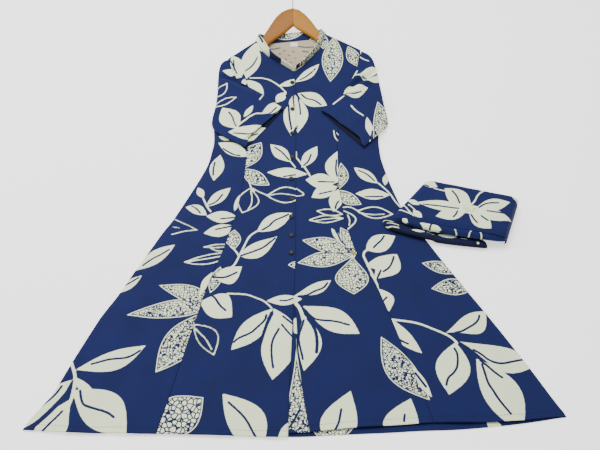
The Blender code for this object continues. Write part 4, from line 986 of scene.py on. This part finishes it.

# Buttons: nine dished discs of dark olive-brown resin, 11.6 mm across, with a cross of navy
# thread, sewn down the lap. Their four holes are not cut.
BUTTONS = ((-1.1, 29.4), (-1.0, 20.6), (-1.0, 12.7), (-1.0, 5.0), (-1.2, -1.5),
           (-1.1, -7.6), (-1.1, -12.7), (-1.1, -18.0), (-1.1, -22.8))
BUTTON_RADIUS = 0.0058
BUTTON_HEIGHT = 0.0026
# The turned section: shares of the radius and of the height
BUTTON_SECTION = ((0.0, 0.0), (0.7, 0.0), (0.88, 0.08), (0.97, 0.27), (1.0, 0.5), (0.98, 0.72),
                  (0.9, 0.92), (0.82, 1.0), (0.72, 0.98), (0.64, 0.84), (0.56, 0.74), (0.4, 0.68),
                  (0.3, 0.66), (0.15, 0.64), (0.0, 0.64))
THREAD_BAR = (0.0021, 0.00035, 0.0004)
THREAD_LEVEL = 0.00195
resin, tree, place = material("moulded_brown_resin")
swirl = noise(tree, place, 260.0, Distortion=1.5)
look(tree, {"Base Color": blend(tree, swirl, "#0f120a", "#292c18"), "Roughness": 0.4,
            "Specular IOR Level": 0.25, "Coat Weight": 0.05})
thread, tree, place = material("navy_sewing_thread")
ply = waves(tree, place, 600.0, "DIAGONAL")
look(tree, {"Base Color": blend(tree, ply, "#131a38", "#2b3768"), "Roughness": 0.8})
for number, (button_x, button_y) in enumerate(BUTTONS, start=1):
    disc = bmesh.new()
    line = [disc.verts.new((r * BUTTON_RADIUS, 0.0, h * BUTTON_HEIGHT)) for r, h in BUTTON_SECTION]
    edges = [disc.edges.new(pair) for pair in zip(line, line[1:])]
    bmesh.ops.spin(disc, geom=line + edges, cent=(0, 0, 0), axis=(0, 0, 1),
                   angle=math.tau, steps=40, use_merge=True)
    bmesh.ops.remove_doubles(disc, verts=disc.verts, dist=1e-6)
    bmesh.ops.recalc_face_normals(disc, faces=disc.faces)
    count = len(disc.faces)
    # Two crossed bars of thread, turned a little further on each button
    for turn in (45, -45):
        bar = bmesh.ops.create_uvsphere(disc, u_segments=12, v_segments=8, radius=1.0)
        spin = math.radians(turn + number * 9.0)
        way = Vector((math.cos(spin), math.sin(spin), 0))
        bmesh.ops.scale(disc, verts=bar["verts"], vec=THREAD_BAR)
        bmesh.ops.rotate(disc, verts=bar["verts"], cent=(0, 0, 0),
                         matrix=way.to_track_quat("X", "Z").to_matrix())
        bmesh.ops.translate(disc, verts=bar["verts"], vec=(0.0, 0.0, THREAD_LEVEL))
    disc.faces.ensure_lookup_table()
    for face in disc.faces[count:]:
        face.material_index = 1
    seat = float(lap_top(np.array(button_x), np.array(button_y))) + GAP + 0.02
    bmesh.ops.translate(disc, verts=disc.verts, vec=Vector((button_x, button_y, seat)) * CM)
    data = bpy.data.meshes.new("kurti_button_%d" % number)
    disc.to_mesh(data)
    disc.free()
    piece(data, resin, ["button_%d" % number])
    data.materials.append(thread)

# Palazzo: wide trousers of the same cotton, folded into a flat packet. Its inner
# layers show only as the stacked edges of the packet.
# Its two ends: x, y at the far edge and x, y at the near edge
HEAP_LEFT = (31.0, -3.9, 23.2, -13.5)
HEAP_RIGHT = (51.0, -8.9, 47.4, -18.55)
HEAP_TOP = 3.38


def ground(x, y):
    """What the packet rests on: the floor, or the skirt where it lies over it."""
    side = along(RIGHT_SIDE, y)
    on_skirt = mound(np.minimum(x, side) * 0.98, y) + 0.08
    return on_skirt * (1.0 - soft((x - side - 0.7) / 1.5))


def heap_spot(across, down):
    """A spot of the packet, by its share across and down."""
    left_x, left_y, right_x, right_y = [mix(end[at], end[at + 2], down)
                                        for end in (HEAP_LEFT, HEAP_RIGHT) for at in (0, 1)]
    return mix(left_x, right_x, across), mix(left_y, right_y, across)


data, turn, run = woven("palazzo_inner_layers", 96, 120)
angle = turn * math.tau
end = 2.0 * run - 1.0
pinch = np.sqrt(np.maximum(0.0, 1.0 - np.abs(end) ** 16))
wide = np.sign(np.cos(angle)) * np.abs(np.cos(angle)) ** 0.25
tall = np.sign(np.sin(angle)) * np.abs(np.sin(angle)) ** 0.5
down = 0.5 - 0.49 * wide * mix(0.9, 1.0, pinch)
x, y = heap_spot(mix(0.004, 0.996, run), down)
base = ground(x, y) + 0.02
middle = (base + HEAP_TOP) / 2.0
z = middle + (HEAP_TOP - 0.02 - middle) * tall * pinch
layer = 0.055 * np.cos(z * math.tau / 0.42) * np.abs(wide) ** 6
lay(data, x, y + layer * np.sign(wide), z)
paint(data, x, y)
close_up(data)
inner = piece(data, cotton, ["palazzo_core"])

# Top layer of the packet: one leg's cloth, doubled, smoothed flat over the top and
# turned down over the far end.
# Its run: share across the packet, reach past its end, height
TOP_RUN = ((-0.012, 0.0, 2.95), (0.02, 0.0, 3.42), (0.08, 0.0, 3.5), (0.2, 0.0, 3.48),
           (0.34, 0.0, 3.52), (0.5, 0.0, 3.5), (0.66, 0.0, 3.46), (0.8, 0.0, 3.5),
           (0.92, 0.0, 3.48), (0.985, 0.0, 3.36), (1.0, 0.35, 3.0), (1.0, 0.75, 2.3),
           (1.0, 0.95, 1.5), (1.0, 0.85, 0.7), (1.0, 0.65, 0.34))
FLAT_ROWS = 9.0
END_ROWS = 5.0
data, run, down = woven("palazzo_top_layer", 190, 90)
down = mix(-0.035, 1.12, 1.0 - down)
over = np.clip((down - 0.985) / 0.135, 0.0, 1.0)
row = np.where(run < 0.8, run / 0.8 * FLAT_ROWS, FLAT_ROWS + (run - 0.8) / 0.2 * END_ROWS)
share, out, high = [flowing(TOP_RUN, row / (FLAT_ROWS + END_ROWS), at) for at in range(3)]
x, y = heap_spot(share, down)
edge = np.clip((0.04 - down) / 0.075, 0.0, 1.0)
z = high - 0.55 * edge * edge * np.minimum(1.0, high / 3.0)
flat_top = (run < 0.78) * soft(run / 0.05) * soft((0.98 - down) / 0.2)
z = z + flat_top * creases(x * 1.6, y * 1.6, 1.2)
z = z - 0.34 * over ** 1.6 * soft(high / 2.0)
lay(data, x + out, y - out * 0.2, z)
# One printed flower lies across the top, with a few leaves round it
PACKET_PRINT = {
    "leaves": ((40.4, -12.3, 34.8, -6.3, 2.2, 2.6), (40, -12.4, 28, -10.4, 1.5, 1.4),
               (37.6, -12.7, 43.6, -12.6, 1.3, 1.2),
               (39.6, -12.6, 32, -14.5, 1.9, 1.7), (39.6, -12.6, 44.4, -17.9, 2, 2.1, 0.55),
               (40.8, -12.6, 49.3, -15.4, 1.7, 1.6), (40.8, -12.6, 49.6, -10.4, 1.9, 1.5, 0.55),
               (29.6, -4, 33.2, -5.9, 1.1, 1.1), (26, -9.6, 28.6, -11.2, 0.7, 0.7),
               (26.9, -12.8, 28.9, -14.8, 0.8, 0.8), (50, -6.8, 52.4, -10.4, 0.6, 0.9)),
    "strokes": ((0.45, 40.6, -11.1, 41.5, -10.1, 42.2, -8.5, 43.4, -7.3, 45, -6.7, 45.8, -6.6),
                (0.35, 32.3, -6.3, 33.6, -6.7, 34.8, -7.1),
                (0.35, 25, -11.1, 25.9, -12.8, 27, -14.3),
                (0.35, 26.1, -11.1, 27.4, -12.7), (0.35, 23.5, -12.2, 24.9, -13, 26.8, -14)),
    "veins": ((0.34, 36.5, -7.1, 37.4, -8.5, 37.9, -10.6), (0.3, 29.5, -11, 37.5, -12.2),
              (0.34, 37.2, -12.9, 36.8, -13.8, 36.1, -14.6),
              (0.34, 40.2, -14, 40.7, -15.3, 41.4, -16.3), (0.34, 42.5, -14.3, 43.9, -15.7),
              (0.34, 44, -12.9, 47.9, -13.6),
              (0.34, 42.3, -11.9, 43.3, -11.1, 44.8, -10.6, 46.9, -10.6),
              (0.3, 30.4, -5.2, 31.1, -5.8)),
    "gold": ((0.22, 38.6, -12.1, 39.3, -12.5), (0.22, 39.4, -11.9, 39.8, -12.6),
             (0.22, 40.1, -12.7, 41, -13), (0.22, 40.8, -12.2, 41.5, -12.5),
             (0.22, 39, -12.9, 39.6, -13.2))}
paint(data, x + out, y - out * 0.2, **PACKET_PRINT)
top_layer = piece(data, cotton, ["palazzo_top_fold"], wall=0.2, offset=1.0)

# Front rolls: the packet's two lower layers turn over at the front edge into long
# soft rolls, one on the other, and show their folds as lines along them.
# Stations along each roll: x, y, height of its middle, half depth, half height
UPPER_ROLL = ((23.6, -14.3, 2.95, 0.5, 0.25), (24.1, -14.6, 2.93, 0.95, 0.5),
              (25.6, -15.1, 2.86, 1.2, 0.66), (28.5, -16.0, 2.64, 1.25, 0.74),
              (32.5, -17.0, 2.5, 1.25, 0.85), (37.0, -17.9, 2.5, 1.25, 0.85),
              (41.5, -18.7, 2.45, 1.25, 0.83), (45.0, -19.3, 2.35, 1.15, 0.8),
              (47.0, -19.6, 2.2, 0.95, 0.65), (47.6, -19.7, 2.1, 0.5, 0.3))
LOWER_ROLL = ((20.1, -14.9, 0.0, 0.6, 0.3), (20.6, -15.1, 0.0, 1.1, 0.55),
              (22.0, -15.6, 0.0, 1.4, 0.64), (24.5, -16.4, 0.0, 1.5, 0.66),
              (27.0, -17.2, 0.0, 1.5, 0.66), (30.0, -18.0, 0.0, 1.5, 0.74),
              (33.5, -18.7, 0.0, 1.5, 0.82), (36.5, -19.2, 0.0, 1.45, 0.82),
              (39.5, -19.6, 0.0, 1.4, 0.8), (42.0, -20.0, 0.0, 1.3, 0.76),
              (43.2, -20.2, 0.0, 1.05, 0.62), (43.7, -20.3, 0.0, 0.6, 0.32))


def roll(name, stations, rests, ink, node):
    """Lay one roll, either resting on what is below or held at its own height."""
    data, turn, run = woven(name, 64, 150)
    angle = turn * math.tau
    x, y, middle, deep, high = [flowing(stations, run, at) for at in range(5)]
    close = np.sqrt(np.clip(1.0 - np.abs(2.0 * run - 1.0) ** 30, 0.0, 1.0))
    groove = 1.0 - 0.07 * np.exp(-(np.sin(angle * 1.5 + 0.9 + 0.5 * run) / 0.22) ** 2)
    reach = close * groove
    spot_x = x - 0.2 * deep * np.cos(angle) * reach
    spot_y = y + deep * np.cos(angle) * reach
    if rests:
        floor_z = ground(spot_x, spot_y)
        level = floor_z + high + high * np.sin(angle) * reach
        level = np.maximum(level, floor_z + 0.015)
    else:
        level = middle + high * np.sin(angle) * reach
    lay(data, spot_x, spot_y, level)
    # Painted shade on the lower roll, which lies in the packet's shadow: near blue-black all
    # round, less dark over its top
    painted_shade = 0.95 - 0.5 * soft(np.sin(angle) * 1.6 - 0.6) if rests else 0.0
    paint(data, spot_x, spot_y, deep=painted_shade, **ink)
    close_up(data)
    made = piece(data, cotton, [node])


UPPER_ROLL_PRINT = {
    "leaves": ((28.3, -16.2, 33.1, -18, 1.2, 1.2), (24.2, -14.6, 25.6, -16, 0.5, 0.5)),
    "strokes": ((0.35, 36.2, -18, 36.8, -20),
                (0.35, 39, -20, 39.7, -18.1, 41.3, -18.2, 42, -18.7, 42.1, -20.6)),
    "veins": ((0.34, 31.4, -15.9, 30.7, -16.8, 30.4, -18),)}
LOWER_ROLL_PRINT = {
    "leaves": ((26.4, -17.1, 29.6, -17.7, 0.35, 0.4), (32.4, -18.2, 36.8, -19.0, 0.6, 0.5),
               (41.1, -20.2, 41.7, -20.6, 0.3, 0.3)),
    "strokes": ((0.3, 19.6, -14.6, 20.6, -14.1, 22.4, -14.8),
                (0.3, 19.7, -15.4, 20.8, -16.3, 22.2, -16.2, 23.6, -16.6),
                (0.25, 21.0, -15.2, 22.4, -15.3, 23.6, -15.9), (0.2, 30, -17.8, 31.6, -18.1),
                (0.2, 37.6, -19.2, 39, -19.4))}
roll("palazzo_upper_roll", UPPER_ROLL, False, UPPER_ROLL_PRINT, "palazzo_front_roll_upper")
roll("palazzo_lower_roll", LOWER_ROLL, True, LOWER_ROLL_PRINT, "palazzo_front_roll_lower")
